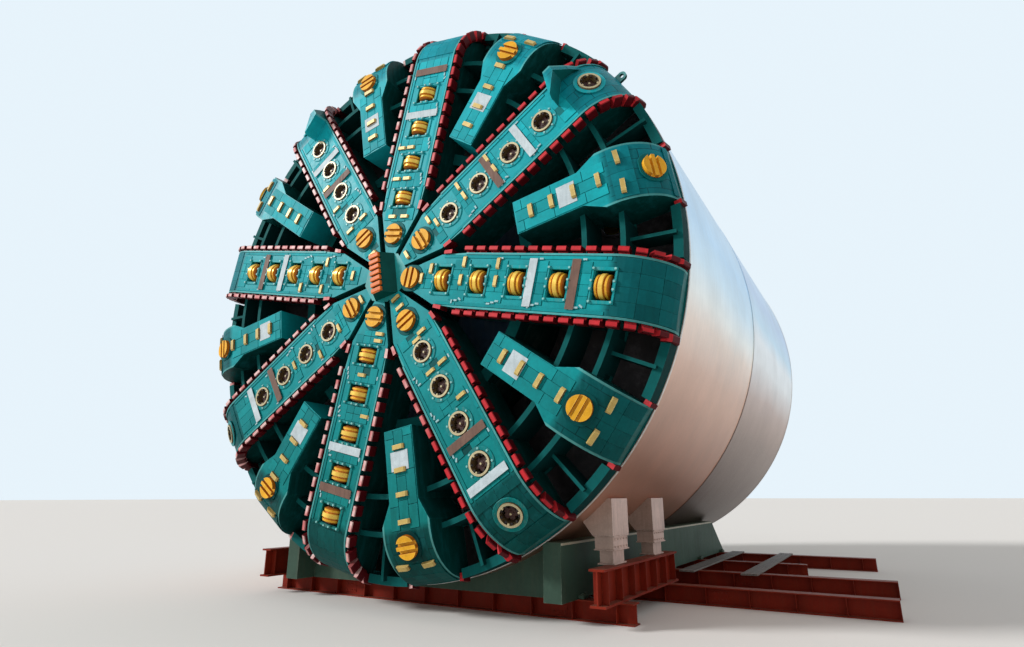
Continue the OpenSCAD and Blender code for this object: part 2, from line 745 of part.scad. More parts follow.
module screw_casing() {
    chute_y = screw_l - chute_l - 400;
    rail_z = -screw_r - 250;
    side = screw_r * 0.7;
    color([0.45, 0.50, 0.55]) {
        difference() {
            union() {
                on_screw() {
                    bar_y(screw_r, -1200, screw_l);
                    for (y = [4000, 8000, 12000]) bar_y(screw_r + 80, y, y + 120);
                    bar_y(screw_r + 60, screw_l - 120, screw_l);
                    // Discharge chute below the casing
                    translate([-side - 60, chute_y - 60, rail_z])
                        cube([2 * side + 120, chute_l + 120, screw_r + 250]);
                    // Rails that hold the gate
                    for (s = [-1, 1])
                        translate([s * (side + 110) - 50, chute_y - chute_l - 200, rail_z - gate_t - 61])
                            cube([100, 2 * chute_l + 320, gate_t + 121]);
                }
                translate([0, 0, axis_h - screw_drop]) bar_y(screw_r + 300, bulkhead_1, bulkhead_1 + 120);
            }
            on_screw() {
                bar_y(screw_r - screw_t, -3000, screw_l - 60);
                translate([-side, chute_y, rail_z - 500]) cube([2 * side, chute_l, screw_r + 700]);
                translate([-side - 85 - seat, chute_y - 5000, rail_z - gate_t - 2 * seat])
                    cube([2 * side + 170 + 2 * seat, 10000, gate_t + 2 * seat]);
            }
            translate([-5000, bulkhead_1 - 5000, 0]) cube([10000, 5000, 20000]);
        }
    }
}

module screw_gate() {
    chute_y = screw_l - chute_l - 400;
    side = screw_r * 0.7;
    color([0.55, 0.50, 0.20]) on_screw()
        translate([-side - 85, chute_y - 60, -screw_r - 250 - gate_t - seat])
            cube([2 * side + 170, chute_l + 120, gate_t]);
}

module thrust_jacks() {
    color([0.75, 0.75, 0.72]) translate([0, 0, axis_h])
        for (k = [0:jacks - 1]) rotate([0, -360 / jacks * (k + 0.5), 0]) translate([jack_at, 0, 0])
            difference() {
                bar_y(jack_r, web_y + web_t + seat, jack_y + jack_l);
                bar_y(rod_r + 5, jack_y + 200, jack_y + jack_l + 100);
            }
}

module thrust_rams(g) {
    per = jacks / 4;
    color([0.82, 0.80, 0.78]) translate([0, 0, axis_h])
        for (k = [0:per - 1]) let (a = 360 / jacks * (k + 0.5 + (g - 1) * per))
            rotate([0, -a, 0]) translate([jack_at, 0, 0]) {
                bar_y(rod_r, jack_y + 250, ram_y + 50);
                translate([-shoe_h / 2, ram_y, -shoe_w / 2]) cube([shoe_h, shoe_t, shoe_w]);
            }
}

module erector_frame() {
    beam = 400;
    inner = erector_r - erector_w;
    color([0.70, 0.55, 0.20]) translate([0, 0, axis_h]) {
        difference() {
            ring(inner, skin_in - 20, web_y, web_y + web_t);
            for (k = [0:11]) rotate([0, -30 * k - 15, 0]) translate([6700, 0, 0]) bar_y(520, 0, 12000);
            translate([-screw_r - 100, 0, -7000]) cube([2 * screw_r + 200, 12000, 3500]);
        }
        for (a = [20, 70, 110, 160, 215, 325]) rotate([0, -a, 0])
            translate([inner + 100, web_y + web_t, -beam / 2]) cube([beam, track_y - web_y - web_t, beam]);
        ring(inner, erector_r, track_y, track_y + track_t);
    }
}

module erector_ring() {
    inner = erector_r - erector_w;
    guide = erector_arm_w / 2;
    color([0.85, 0.65, 0.10]) translate([0, 0, axis_h]) difference() {
        union() {
            ring(inner, erector_r, erector_y, erector_y + erector_l);
            // Guide block at the top that holds the arm
            translate([-guide - 250, erector_y, inner + 60]) cube([2 * guide + 500, erector_l, 900]);
        }
        translate([-guide - seat, erector_y + 100 - seat, 0])
            cube([2 * guide + 2 * seat, erector_l - 200 + 2 * seat, 9000]);
    }
}

module erector_arm() {
    guide = erector_arm_w / 2;
    color([0.80, 0.30, 0.10]) translate([0, 0, axis_h]) {
        translate([-guide, erector_y + 100, arm_tail])
            cube([2 * guide, erector_l - 200, arm_reach - arm_tail]);
        translate([-900, erector_y - 200, arm_reach]) cube([1800, erector_l + 400, 250]);
    }
}

module tail_seal() {
    color([0.35, 0.30, 0.25]) translate([0, 0, axis_h])
        for (k = [0:2]) let (y = tail_y - 560 - k * seal_pitch) turned()
            polygon([[skin_in - seat, y], [skin_in - seat, y + seal_l], [skin_in - 220, y + seal_l + 60],
                     [skin_in - 250, y + seal_l - 40], [skin_in - 80, y]]);
}

module cradle() {
    y_saddles = [for (k = [0:5]) cradle_y + 700 + k * 2800];
    color([0.38, 0.46, 0.40]) translate([0, 0, foot_z]) difference() {
        union() {
            for (s = [-1, 1]) translate([s * (girder_x - girder_t / 2) - girder_t / 2, 0, 0])
                rotate([90, 0, 90]) linear_extrude(girder_t)
                    polygon([[cradle_y, beam_d], [cradle_end, beam_d],
                             [cradle_end - cradle_lean, girder_top], [cradle_y, girder_top]]);
            for (y = y_saddles) translate([-girder_x + 50, y, beam_d])
                cube([2 * girder_x - 100, saddle_t, girder_top - beam_d - 60]);
        }
        translate([0, 0, lift]) bar_y(shield_r + seat, 0, tail_y);
    }
}

// One side bracket: a box that hangs from the shield over a jack with its foot.
module side_bracket() {
    top = lift - sqrt(shield_r * shield_r - bracket_x * bracket_x) - 100;
    box_low = top - bracket_h;
    sleeve_low = box_low - sleeve_h;
    foot_low = beam_d + side_beam_d;
    difference() {
        translate([0, bracket_w, 0]) rotate([90, 0, 0]) linear_extrude(bracket_w)
            polygon([[bracket_x, top], [bracket_x, box_low], [bracket_x - 560, box_low],
                     [bracket_x - 900, box_low + 450], [bracket_x - 700, top]]);
        translate([0, 0, lift]) bar_y(shield_r + seat, -1000, tail_y);
    }
    translate([bracket_x - 520, 60, sleeve_low]) cube([500, bracket_w - 120, sleeve_h]);
    translate([bracket_x - 450, 180, foot_low]) cube([360, bracket_w - 360, sleeve_low - foot_low]);
}

module side_brackets() {
    color([0.70, 0.66, 0.62])
        for (m = [0, 1]) mirror([m, 0, 0])
            for (k = [0, 1]) translate([0, bracket_y + k * bracket_pitch, foot_z]) side_bracket();
}

// A rolled beam section, centred on its width, standing on its foot.
module i_section(d, w) {
    flange = d / 16;
    web = d / 24;
    translate([-w / 2, 0]) square([w, flange]);
    translate([-w / 2, d - flange]) square([w, flange]);
    translate([-web / 2, 0]) square([web, d]);
}

module base_frame() {
    halves = [beam_half_front, beam_half, beam_half, beam_half_fourth, beam_half_rear];
    color([0.36, 0.12, 0.08]) translate([0, 0, foot_z]) {
        for (k = [0:4]) translate([-halves[k], beam_first + k * beam_pitch, 0])
            rotate([90, 0, 90]) linear_extrude(2 * halves[k]) i_section(beam_d, beam_w);
        for (s = [-1, 1]) translate([s * side_beam_x, side_beam_y + side_beam_l, beam_d])
            rotate([90, 0, 0]) linear_extrude(side_beam_l) i_section(side_beam_d, beam_w);
    }
}

on_base() main_spoke(1);  // main_spoke_1
on_base() main_spoke(2);  // main_spoke_2
on_base() main_spoke(3);  // main_spoke_3
on_base() main_spoke(4);  // main_spoke_4
on_base() main_spoke(5);  // main_spoke_5
on_base() main_spoke(6);  // main_spoke_6
on_base() main_spoke(7);  // main_spoke_7
on_base() main_spoke(8);  // main_spoke_8
on_base() short_spoke(1);  // short_spoke_1
on_base() short_spoke(2);  // short_spoke_2
on_base() short_spoke(3);  // short_spoke_3
on_base() short_spoke(4);  // short_spoke_4
on_base() short_spoke(5);  // short_spoke_5
on_base() short_spoke(6);  // short_spoke_6
on_base() short_spoke(7);  // short_spoke_7
on_base() short_spoke(8);  // short_spoke_8
on_base() ring_beams();
on_base() head_drum();
on_base() centre_bit();
on_base() cutter_row(1);  // cutter_row_1
on_base() cutter_row(3);  // cutter_row_3
on_base() cutter_row(5);  // cutter_row_5
on_base() cutter_row(7);  // cutter_row_7
on_base() cutter_cups();
on_base() fixed_cutters();
on_base() edge_bits();
on_base() face_bits();
on_base() front_shield();
on_base() rear_shield();
on_base() seam_ring();
on_base() bulkhead();
on_base() main_drive();
on_base() drive_motors();
on_base() screw_casing();
on_base() screw_gate();
on_base() thrust_jacks();
on_base() thrust_rams(1);  // thrust_rams_1
on_base() thrust_rams(2);  // thrust_rams_2
on_base() thrust_rams(3);  // thrust_rams_3
on_base() thrust_rams(4);  // thrust_rams_4
on_base() erector_frame();
on_base() erector_ring();
on_base() erector_arm();
on_base() tail_seal();
on_base() cradle();
on_base() side_brackets();
on_base() base_frame();
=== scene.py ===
import math
import random

import bmesh
import bpy
from mathutils import Matrix, Vector


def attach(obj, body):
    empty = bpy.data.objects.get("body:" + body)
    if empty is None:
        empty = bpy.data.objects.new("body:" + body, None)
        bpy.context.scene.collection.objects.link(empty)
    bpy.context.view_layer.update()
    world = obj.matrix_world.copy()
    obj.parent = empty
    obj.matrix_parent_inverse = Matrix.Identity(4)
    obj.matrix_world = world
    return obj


# Finishes and fine pieces of the tunnel boring machine, in metres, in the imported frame
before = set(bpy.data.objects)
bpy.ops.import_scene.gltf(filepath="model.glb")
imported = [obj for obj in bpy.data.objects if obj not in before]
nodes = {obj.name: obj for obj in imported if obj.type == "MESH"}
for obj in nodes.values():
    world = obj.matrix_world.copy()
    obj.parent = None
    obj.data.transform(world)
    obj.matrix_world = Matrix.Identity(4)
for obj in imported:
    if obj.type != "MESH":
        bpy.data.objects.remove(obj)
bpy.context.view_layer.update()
print("frame loaded:", len(nodes), "nodes")

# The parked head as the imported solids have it. Pieces are written with Y from its flat face
head = {
    "face": -2.6,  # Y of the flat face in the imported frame
    "axis": 9.35,
    "park": -12.65625,
    "flat": 7.3,  # radius at which the face starts to round over
    "shoulder": 1.4,
    "slot": 0.21,
    "armStart": 4.62,
    "cup": 0.31,
    "pocket": (0.51, 0.74),
    "cutterY": 0.14,
}
# First radius, step and count of the cutters or cups on each main spoke, by its angle
cutterRows = {0: (2.23, 1.225, 5), 90: (2.54, 1.17, 4), 180: (2, 1.125, 5), 270: (2.41, 1.15, 5)}
cupRows = {45: (2.8, 1.21, 4), 135: (2.9, 1.18, 4), 225: (2.61, 1.12, 4), 315: (2.96, 1.21, 4)}
hubCutters = {0: 1.07, 45: 1.65, 90: 1.35, 135: 1.7, 225: 1.48, 270: 1.25, 315: 1.8}
cupTurn = 30  # how far round the shoulder the last cup sits
halfStep = 22.5  # from a main spoke to the next short one


def newObject(name, data):
    obj = bpy.data.objects.new(name, data)
    bpy.context.scene.collection.objects.link(obj)
    return obj


def camera():
    eye = {"place": (12.036, -15.239, 3.001), "tilt": 106.02, "roll": 0.115, "heading": 31.015, "lens": 21.19}
    data = bpy.data.cameras.new("photoCamera")
    data.lens = eye["lens"]
    data.sensor_width = 36
    data.clip_end = 2500
    obj = newObject("photoCamera", data)
    obj.location = eye["place"]
    obj.rotation_euler = [math.radians(eye[k]) for k in ("tilt", "roll", "heading")]
    bpy.context.scene.camera = obj


camera()
print("camera placed")


# Node helpers. A node goes into the tree of its first linked socket
def feed(socket, value):
    # Links the socket, or sets its constant; a colour comes without its alpha
    if isinstance(value, bpy.types.NodeSocket):
        socket.id_data.links.new(value, socket)
    else:
        socket.default_value = (*value, 1) if socket.type == "RGBA" else value


def put(kind, tree=None, **values):
    # Adds a node; a leading underscore sets a property, i0, i1... an input by number, else by its name
    tree = tree or next(v.id_data for v in values.values() if isinstance(v, bpy.types.NodeSocket))
    node = tree.nodes.new("ShaderNode" + kind)
    for key, value in values.items():
        if key.startswith("_"):
            setattr(node, key[1:], value)
        elif key[0] == "i" and key[1:].isdigit():
            feed(node.inputs[int(key[1:])], value)
        else:
            feed(node.inputs[key.replace("_", " ")], value)
    return node.outputs


def ramp(factor, *stops):
    # Colour ramp from (position, value or colour) stops
    node = factor.id_data.nodes.new("ShaderNodeValToRGB")
    bar = node.color_ramp
    while len(bar.elements) < len(stops):
        bar.elements.new(0.5)
    for element, (spot, value) in zip(bar.elements, stops):
        element.position = spot
        element.color = (*value, 1) if isinstance(value, tuple) else (value, value, value, 1)
    feed(node.inputs["Fac"], factor)
    return node.outputs["Color"]


def mixed(factor, a, b, blend="MIX"):
    return put("Mix", _data_type="RGBA", _blend_type=blend, i0=factor, i6=a, i7=b)[2]


def tinted(a, b):
    return mixed(1, a, b, "MULTIPLY")


def maths(kind, a, b=0, clamp=False):
    return put("Math", _operation=kind, _use_clamp=clamp, i0=a, i1=b)[0]


def times(a, b, clamp=False):
    return maths("MULTIPLY", a, b, clamp)


def plus(a, b, clamp=False):
    return maths("ADD", a, b, clamp)


def minus(a, b):
    return maths("SUBTRACT", a, b)


def absolute(a):
    return maths("ABSOLUTE", a)


def noise(vector, scale, detail, rough=0.5):
    return put("TexNoise", Vector=vector, Scale=scale, Detail=detail, Roughness=rough)["Fac"]


def split(vector):
    return put("SeparateXYZ", Vector=vector)


def newGroup(name, **inputs):
    # Inputs by kind; every surface puts out its colour, roughness and height
    tree = bpy.data.node_groups.new(name, "ShaderNodeTree")
    for way, sockets in (("INPUT", inputs), ("OUTPUT", {"Color": "Color", "Float": "Roughness Height"})):
        for kind, labels in sockets.items():
            for label in labels.split():
                tree.interface.new_socket(label, in_out=way, socket_type="NodeSocket" + kind)
    return tree, tree.nodes.new("NodeGroupInput").outputs, tree.nodes.new("NodeGroupOutput").inputs


def weatheredGroup():
    # Paint with soft tone changes, rain streaks, dust and bare edges
    tree, inp, out = newGroup("weathered", Vector="Vector", Color="Paint Worn Dust", Float="Scale Wear Dirt Edge")
    scaled = put("VectorMath", _operation="SCALE", i0=inp["Vector"], Scale=inp["Scale"])[0]
    broad = noise(scaled, 0.9, 4, 0.6)
    fine = noise(scaled, 9, 6, 0.65)
    streak = noise(put("Mapping", Vector=scaled, Scale=(5, 5, 0.35))[0], 1, 5, 0.7)
    color = tinted(inp["Paint"], ramp(broad, (0.3, 0.8), (0.7, 1.12)))
    color = tinted(color, ramp(fine, (0.35, 0.9), (0.7, 1.06)))
    dirt = times(ramp(streak, (0.48, 0), (0.72, 1)), inp["Dirt"])
    color = mixed(dirt, color, inp["Dust"])
    bevel = put("Bevel", _samples=4, Radius=inp["Edge"])[0]
    normal = put("NewGeometry", tree)["Normal"]
    turn = put("VectorMath", _operation="DOT_PRODUCT", i0=bevel, i1=normal)["Value"]
    edge = ramp(minus(1, turn), (0.02, 0), (0.22, 1))
    chips = ramp(fine, (0.42, 0), (0.58, 1))
    bare = times(times(edge, chips), inp["Wear"], clamp=True)
    feed(out["Color"], mixed(bare, color, inp["Worn"]))
    feed(out["Roughness"], plus(times(fine, 0.3), times(dirt, 0.35)))
    feed(out["Height"], plus(times(broad, 0.7), times(fine, 0.3)))
    return tree


def brushedGroup():
    # Bare rolled plate: soft clouds, handling marks and fine lines along the rolling direction
    tree, inp, out = newGroup("brushedPlate", Vector="Vector Stretch", Color="Low High")
    cloud = noise(inp["Vector"], 0.5, 5, 0.6)
    lined = put("VectorMath", _operation="MULTIPLY", i0=inp["Vector"], i1=inp["Stretch"])[0]
    lines = noise(lined, 1.4, 7, 0.7)
    grit = noise(inp["Vector"], 14, 4)
    blend = ramp(plus(times(cloud, 0.65), times(lines, 0.35)), (0.34, 0), (0.66, 1))
    feed(out["Color"], mixed(blend, inp["Low"], inp["High"]))
    feed(out["Roughness"], plus(times(lines, 0.22), times(grit, 0.14)))
    feed(out["Height"], plus(times(lines, 0.6), times(cloud, 0.4)))
    return tree


weathered = weatheredGroup()
brushed = brushedGroup()


def newMaterial(name):
    # The place it hands back is measured from the head's flat face
    material = bpy.data.materials.new(name)
    material.use_nodes = True
    tree = material.node_tree
    tree.nodes.clear()
    shader = tree.nodes.new("ShaderNodeBsdfPrincipled")
    feed(tree.nodes.new("ShaderNodeOutputMaterial").inputs["Surface"], shader.outputs[0])
    place = put("Mapping", Vector=put("TexCoord", tree)["Object"], Location=(0, -head["face"], 0))[0]
    return (material, shader), place


def spokeTurn(angle):
    return 0, math.radians(angle + head["park"]), 0


def facing(place, angle=None):
    # The surface's own direction, turned into a spoke's frame where an angle is given
    normal = put("TexCoord", place.id_data)["Normal"]
    if angle is not None:
        normal = put("Mapping", _vector_type="VECTOR", Vector=normal, Rotation=spokeTurn(angle))[0]
    return split(normal)


def along(place, angle):
    # A spoke's own directions: X along it, Y into the head, Z sideways
    moved = put("Mapping", Vector=place, Location=(0, 0, -head["axis"]))[0]
    return split(put("Mapping", Vector=moved, Rotation=spokeTurn(angle))[0])


def rising(place, stops):
    # Colour by height, in twentieths of a metre
    return ramp(times(split(place)["Z"], 0.05), *stops)


def coat(made, color, rough, height, relief, gloss=0.5, metal=0):
    # Relief is the strength and depth of the bump
    material, shader = made
    normal = put("Bump", Height=height, Strength=relief[0], Distance=relief[1])[0]
    for key, value in {"Base Color": color, "Roughness": rough, "Specular IOR Level": gloss, "Metallic": metal,
                       "Normal": normal}.items():
        feed(shader.inputs[key], value)
    return material


def weather(made, place, base, worn, dust, rough, relief, scale=1, wear=0.5, dirt=0.25, edge=0.03,
            height=None, **more):
    # Worn and dusty coat over a base colour; rough is added to the group's own roughness
    got = put("Group", _node_tree=weathered, Vector=place, Paint=base, Worn=worn, Dust=dust, Scale=scale,
              Wear=wear, Dirt=dirt, Edge=edge)
    rough = plus(got["Roughness"], rough, clamp=True)
    return coat(made, got["Color"], rough, height or got["Height"], relief, **more)


def paint(name, color, worn=None, dust=(0.3, 0.27, 0.22), rough=0.35, strength=0.25, tone=False, sides=None,
          litTops=None, heightShade=None, gloss=0.3, **more):
    # Tone reads each plate's own shade, heightShade gives colours in painted shade by height, sides gives faces
    # turned from the front a colour of painted shade, painted light on the brackets, and litTops gives upward faces a
    # painted highlight
    made, place = newMaterial(name)
    base = rising(place, heightShade) if heightShade else color
    if tone:
        shade = put("Attribute", place.id_data, _attribute_name="tone")["Fac"]
        base = tinted(base, ramp(shade, (0, 0.8), (1, 1.12)))
    if sides:
        base = mixed(ramp(absolute(facing(place)["Y"]), (0.35, 0), (0.7, 1)), sides, base)
    if litTops:
        base = mixed(ramp(facing(place)["Z"], (0.6, 0), (0.85, 1)), base, litTops)
    worn = worn or tuple(min(1, c * 0.6 + 0.25) for c in color)
    return weather(made, place, base, worn, dust, rough - 0.12, (strength, 0.01), gloss=gloss, **more)


# Finishes of the imported solids
# Teal: mid is the paint's own colour; side, lip and inner are painted shade on flanks, hub sides and ring beams
teal = {"mid": (0.006, 0.31, 0.33), "side": (0.0012, 0.045, 0.041), "lip": (0.004, 0.105, 0.102),
        "inner": (0.0015, 0.036, 0.036)}
# Colours by height in painted shade, darker towards the bottom: litRise for the face, shadeRise for the shoulder, in
# deeper painted shade where it turns from the light
litRise = ((0.08, (0.003, 0.15, 0.135)), (0.42, (0.003, 0.3, 0.325)), (0.78, (0.008, 0.41, 0.47)))
shadeRise = ((0.08, (0.001, 0.062, 0.056)), (0.45, (0.002, 0.125, 0.14)), (0.66, (0.003, 0.23, 0.28)),
             (0.78, (0.004, 0.3, 0.37)))


def spokePaint(name, angle):
    # Teal body of one spoke in painted shade darker towards the bottom, with flanks in painted shade, a shoulder
    # in deeper painted shade with joints between its wear plates, and a painted sky reflection on the outer tip
    made, place = newMaterial(name)
    parts, way = along(place, angle), facing(place, angle)
    flat = put("CombineXYZ", X=parts["X"], Y=parts["Z"])[0]
    joints = put("TexBrick", Vector=flat, Scale=1, Color1=(1, 1, 1), Color2=(0.72, 0.76, 0.74),
                 Mortar=(0.34, 0.34, 0.34), Mortar_Size=0.011, Brick_Width=0.58, Row_Height=0.29,
                 Mortar_Smooth=0.3)["Color"]
    out = times(parts["X"], 0.1)
    # Shoulder in deeper painted shade, by height, with joints between plates
    shoulder = tinted(rising(place, shadeRise), joints)
    base = mixed(ramp(out, (0.715, 0), (0.735, 1)), rising(place, litRise), shoulder)
    # Painted sky reflection: a paler band on the outer tip
    base = mixed(ramp(out, (0.866, 0), (0.869, 0.6)), base, (0.2, 0.4, 0.36))
    base = mixed(ramp(absolute(parts["Z"]), (0.73, 0), (0.738, 0.45)), base, (0.16, 0.48, 0.45))
    # Flanks in painted shade, darker away from the face
    shadedFlank = ramp(absolute(way["Z"]), (0.45, 0), (0.7, 1))
    base = mixed(shadedFlank, base, ramp(parts["Y"], (0, teal["lip"]), (0.1, teal["side"])))
    return weather(made, place, base, (0.08, 0.5, 0.53), (0.02, 0.22, 0.24), 0.24, (0.25, 0.012), wear=0.55,
                   gloss=0.07)


def cutterPaint(name, angle):
    # Gold roller: bright hard ridges, deep orange grooves, told apart by distance from the row's axis; the colour
    # turns near black nearer the axis, a painted shade deep in the roller
    made, place = newMaterial(name)
    parts = along(place, angle)
    deep = minus(parts["Y"], head["cutterY"])
    out = maths("SQRT", plus(times(deep, deep), times(parts["Z"], parts["Z"])))
    base = ramp(times(out, 2), (0.3, (0.05, 0.02, 0.01)), (0.44, (0.28, 0.08, 0.008)), (0.53, (0.55, 0.13, 0.004)),
                (0.57, (0.62, 0.17, 0.004)), (0.595, (0.8, 0.39, 0.018)), (0.66, (0.92, 0.6, 0.1)))
    return weather(made, place, base, (1, 0.7, 0.16), (0.5, 0.2, 0.02), 0.14, (0.35, 0.01), scale=4, wear=0.8,
            dirt=0.2, gloss=0.25, metal=0.25)


def bitPaint():
    # Edge bits: red fronts with a patchy painted highlight on the left half of the head; their other faces are
    # near-black red, a painted shade
    made, place = newMaterial("bitRed")
    # Painted highlight: pale patches on the left half of the head
    left = ramp(plus(times(split(place)["X"], 0.1), 0.5), (0.52, 1), (0.72, 0))
    paintedSheen = times(left, ramp(noise(place, 2.6, 2), (0.38, 0.3), (0.58, 0.92)))
    red = mixed(paintedSheen, (0.56, 0.026, 0.034), (0.82, 0.58, 0.55))
    # Faces turned from the front in painted shade
    front = ramp(times(facing(place)["Y"], -1), (0.55, 0), (0.8, 1))
    base = mixed(front, (0.085, 0.004, 0.007), red)
    return weather(made, place, base, (0.55, 0.05, 0.05), (0.12, 0.006, 0.008), 0.25, (0.3, 0.01), scale=4,
            wear=0.35, edge=0.02, gloss=0.12)


def centreBitPaint():
    # Dark flanks, orange where the teeth have their hard front
    made, place = newMaterial("centreBitPaint")
    deep = ramp(plus(split(place)["Y"], 1), (0.565, 1), (0.575, 0))
    base = mixed(deep, (0.002, 0.07, 0.06), (0.6, 0.12, 0.012))
    return weather(made, place, base, (0.03, 0.25, 0.22), (0.005, 0.09, 0.08), 0.3, (0.3, 0.012), scale=3, wear=0.6,
            dirt=0.3, edge=0.02, gloss=0.08)


def shieldSkin():
    # Silver plate with a painted reflection of sky above and warm ground below and a painted highlight band
    # between, with faint joints and a dark seam by Y
    faint = ((0, 0.9), (0.015, 1))
    joints = {4.3: faint, 7.1: faint, 13.6: faint, 17: faint, 10.02: ((0.045, 0.1), (0.06, 1))}
    made, place = newMaterial("silverSkin")
    parts = split(place)
    wobble = times(minus(noise(place, 0.16, 3), 0.5), 0.07)
    height = plus(times(parts["Z"], 1 / 20), wobble)
    # Painted reflection by height: warm ground low, a painted highlight band, blue sky, plain silver at the top; the
    # rear section's highlight is whiter and its low part darker
    front = ramp(height, (0.08, (0.42, 0.2, 0.13)), (0.16, (0.7, 0.36, 0.25)), (0.237, (0.74, 0.46, 0.36)),
                 (0.3, (0.82, 0.55, 0.43)), (0.355, (1, 0.8, 0.67)), (0.39, (1, 0.98, 0.92)), (0.44, (0.74, 0.9, 1)),
                 (0.5, (0.58, 0.8, 1)), (0.6, (0.62, 0.8, 0.97)), (0.75, (0.74, 0.78, 0.82)))
    rear = ramp(height, (0.08, (0.13, 0.085, 0.07)), (0.16, (0.2, 0.13, 0.11)), (0.25, (0.34, 0.25, 0.22)),
                (0.32, (0.62, 0.46, 0.4)), (0.38, (0.96, 0.94, 0.92)), (0.42, (1, 1, 1)), (0.46, (0.66, 0.86, 1)),
                (0.53, (0.56, 0.7, 0.92)), (0.62, (0.62, 0.78, 0.95)), (0.75, (0.74, 0.78, 0.82)))
    tone = mixed(ramp(times(parts["Y"], 0.05), (0.5, 0), (0.503, 1)), front, rear)
    low = tinted(tone, (0.8, 0.79, 0.78))
    got = put("Group", _node_tree=brushed, Vector=place, Low=low, High=tone, Stretch=(0.35, 7, 0.35))
    color = got["Color"]
    for y, stops in joints.items():
        color = tinted(color, ramp(absolute(minus(parts["Y"], y)), *stops))
    return coat(made, color, plus(got["Roughness"], 0.16, clamp=True), got["Height"], (0.16, 0.02), metal=0.75)


def bulkheadPaint():
    # Dusty plate with pale scuffs, seen between the spokes; its near-black base is a painted shade of the hollow
    # behind them
    made, place = newMaterial("bulkheadGrey")
    crust = noise(place, 1.1, 8, 0.7)
    base = ramp(crust, (0.4, (0.012, 0.01, 0.011)), (0.56, (0.04, 0.032, 0.034)), (0.7, (0.13, 0.115, 0.12)))
    return weather(made, place, base, (0.16, 0.15, 0.15), (0.07, 0.055, 0.055), 0.4, (0.5, 0.04), wear=0.6, dirt=0.4,
            height=crust)


def sealPaint():
    # Wire brush: dense fine bristles that run back along the machine
    made, place = newMaterial("sealWire")
    hair = noise(put("Mapping", Vector=place, Scale=(60, 3, 60))[0], 1, 4, 0.7)
    base = ramp(hair, (0.35, (0.03, 0.022, 0.016)), (0.55, (0.14, 0.11, 0.08)), (0.72, (0.34, 0.29, 0.22)))
    return coat(made, base, plus(times(hair, 0.4), 0.3), hair, (0.9, 0.03), metal=0.5)


finishes = {"bitRed": bitPaint(), "centreBit": centreBitPaint(), "silverSkin": shieldSkin(),
            "bulkheadGrey": bulkheadPaint(), "sealWire": sealPaint()}


def addFinishes(**coats):
    for name, values in coats.items():
        finishes[name] = paint(name, **values)


addFinishes(
    # Ring beams in painted shade: a dark teal front, darker still on the sides
    ringTeal=dict(color=teal["lip"], worn=(0.03, 0.16, 0.155), dust=(0.01, 0.05, 0.05), wear=0.6, dirt=0.3,
        sides=teal["inner"], gloss=0.05, rough=0.6),
    # Hub drum: sides in painted shade
    hubTeal=dict(color=(0.012, 0.3, 0.3), worn=(0.1, 0.45, 0.45), sides=teal["side"], gloss=0.15),
    # Gold hub cutters: sides in painted shade
    hubGold=dict(color=(0.84, 0.42, 0.028), worn=(0.95, 0.7, 0.22), dust=(0.4, 0.17, 0.02), wear=0.8, scale=4,
        rough=0.45, sides=(0.46, 0.13, 0.006), gloss=0.1),
    # Cup rims: sides in painted shade
    cupGold=dict(color=(0.5, 0.42, 0.24), worn=(0.82, 0.74, 0.48), metal=0.1, wear=0.8, scale=4,
        sides=(0.2, 0.12, 0.05), gloss=0.25),
    # Face bits: sides in painted shade
    bitCream=dict(color=(0.56, 0.4, 0.12), worn=(0.9, 0.78, 0.42), dust=(0.28, 0.15, 0.03), wear=0.9, scale=4,
        metal=0.1, sides=(0.28, 0.15, 0.035), gloss=0.25),
    seamDark=dict(color=(0.03, 0.025, 0.025), wear=0.3),
    driveBlue=dict(color=(0.05, 0.1, 0.17), worn=(0.35, 0.38, 0.4), wear=0.7),
    motorBlue=dict(color=(0.03, 0.12, 0.33), worn=(0.4, 0.45, 0.5), wear=0.7, scale=2),
    conveyorGrey=dict(color=(0.28, 0.31, 0.33), worn=(0.55, 0.55, 0.53), wear=0.7, dirt=0.5),
    gateSteel=dict(color=(0.3, 0.26, 0.12), worn=(0.6, 0.58, 0.5), metal=0.6, wear=0.8, scale=2),
    jackGrey=dict(color=(0.36, 0.37, 0.36), worn=(0.6, 0.6, 0.58), wear=0.7, scale=2),
    ramChrome=dict(color=(0.55, 0.55, 0.56), worn=(0.8, 0.8, 0.8), metal=0.85, rough=0.26, dirt=0.12, scale=2,
        strength=0.1),
    erectorYellow=dict(color=(0.72, 0.42, 0.03), worn=(0.5, 0.45, 0.35), wear=0.8, dirt=0.35),
    erectorOrange=dict(color=(0.66, 0.17, 0.03), worn=(0.5, 0.4, 0.32), wear=0.8, dirt=0.3),
    # Cradle: lighter tops, a painted highlight
    cradleGreen=dict(color=(0.04, 0.08, 0.056), worn=(0.18, 0.21, 0.16), dust=(0.08, 0.085, 0.06), wear=0.6,
        dirt=0.35, litTops=(0.12, 0.15, 0.1), gloss=0.15, rough=0.5),
    # Brackets: lighter side faces, painted light
    bracketGrey=dict(color=(0.4, 0.29, 0.24), worn=(0.66, 0.58, 0.53), dust=(0.24, 0.17, 0.14), wear=0.6, dirt=0.4,
        scale=2, metal=0.15, sides=(0.62, 0.44, 0.38)),
    # Base frame: lighter tops, a painted highlight
    beamOxide=dict(color=(0.205, 0.016, 0.006), worn=(0.26, 0.06, 0.035), dust=(0.15, 0.035, 0.02), dirt=0.4,
        scale=1.6, litTops=(0.2, 0.055, 0.035), gloss=0.1, rough=0.5),
)
print("finishes made")


def dress(name, material):
    data = nodes[name].data
    data.materials.clear()
    data.materials.append(material)


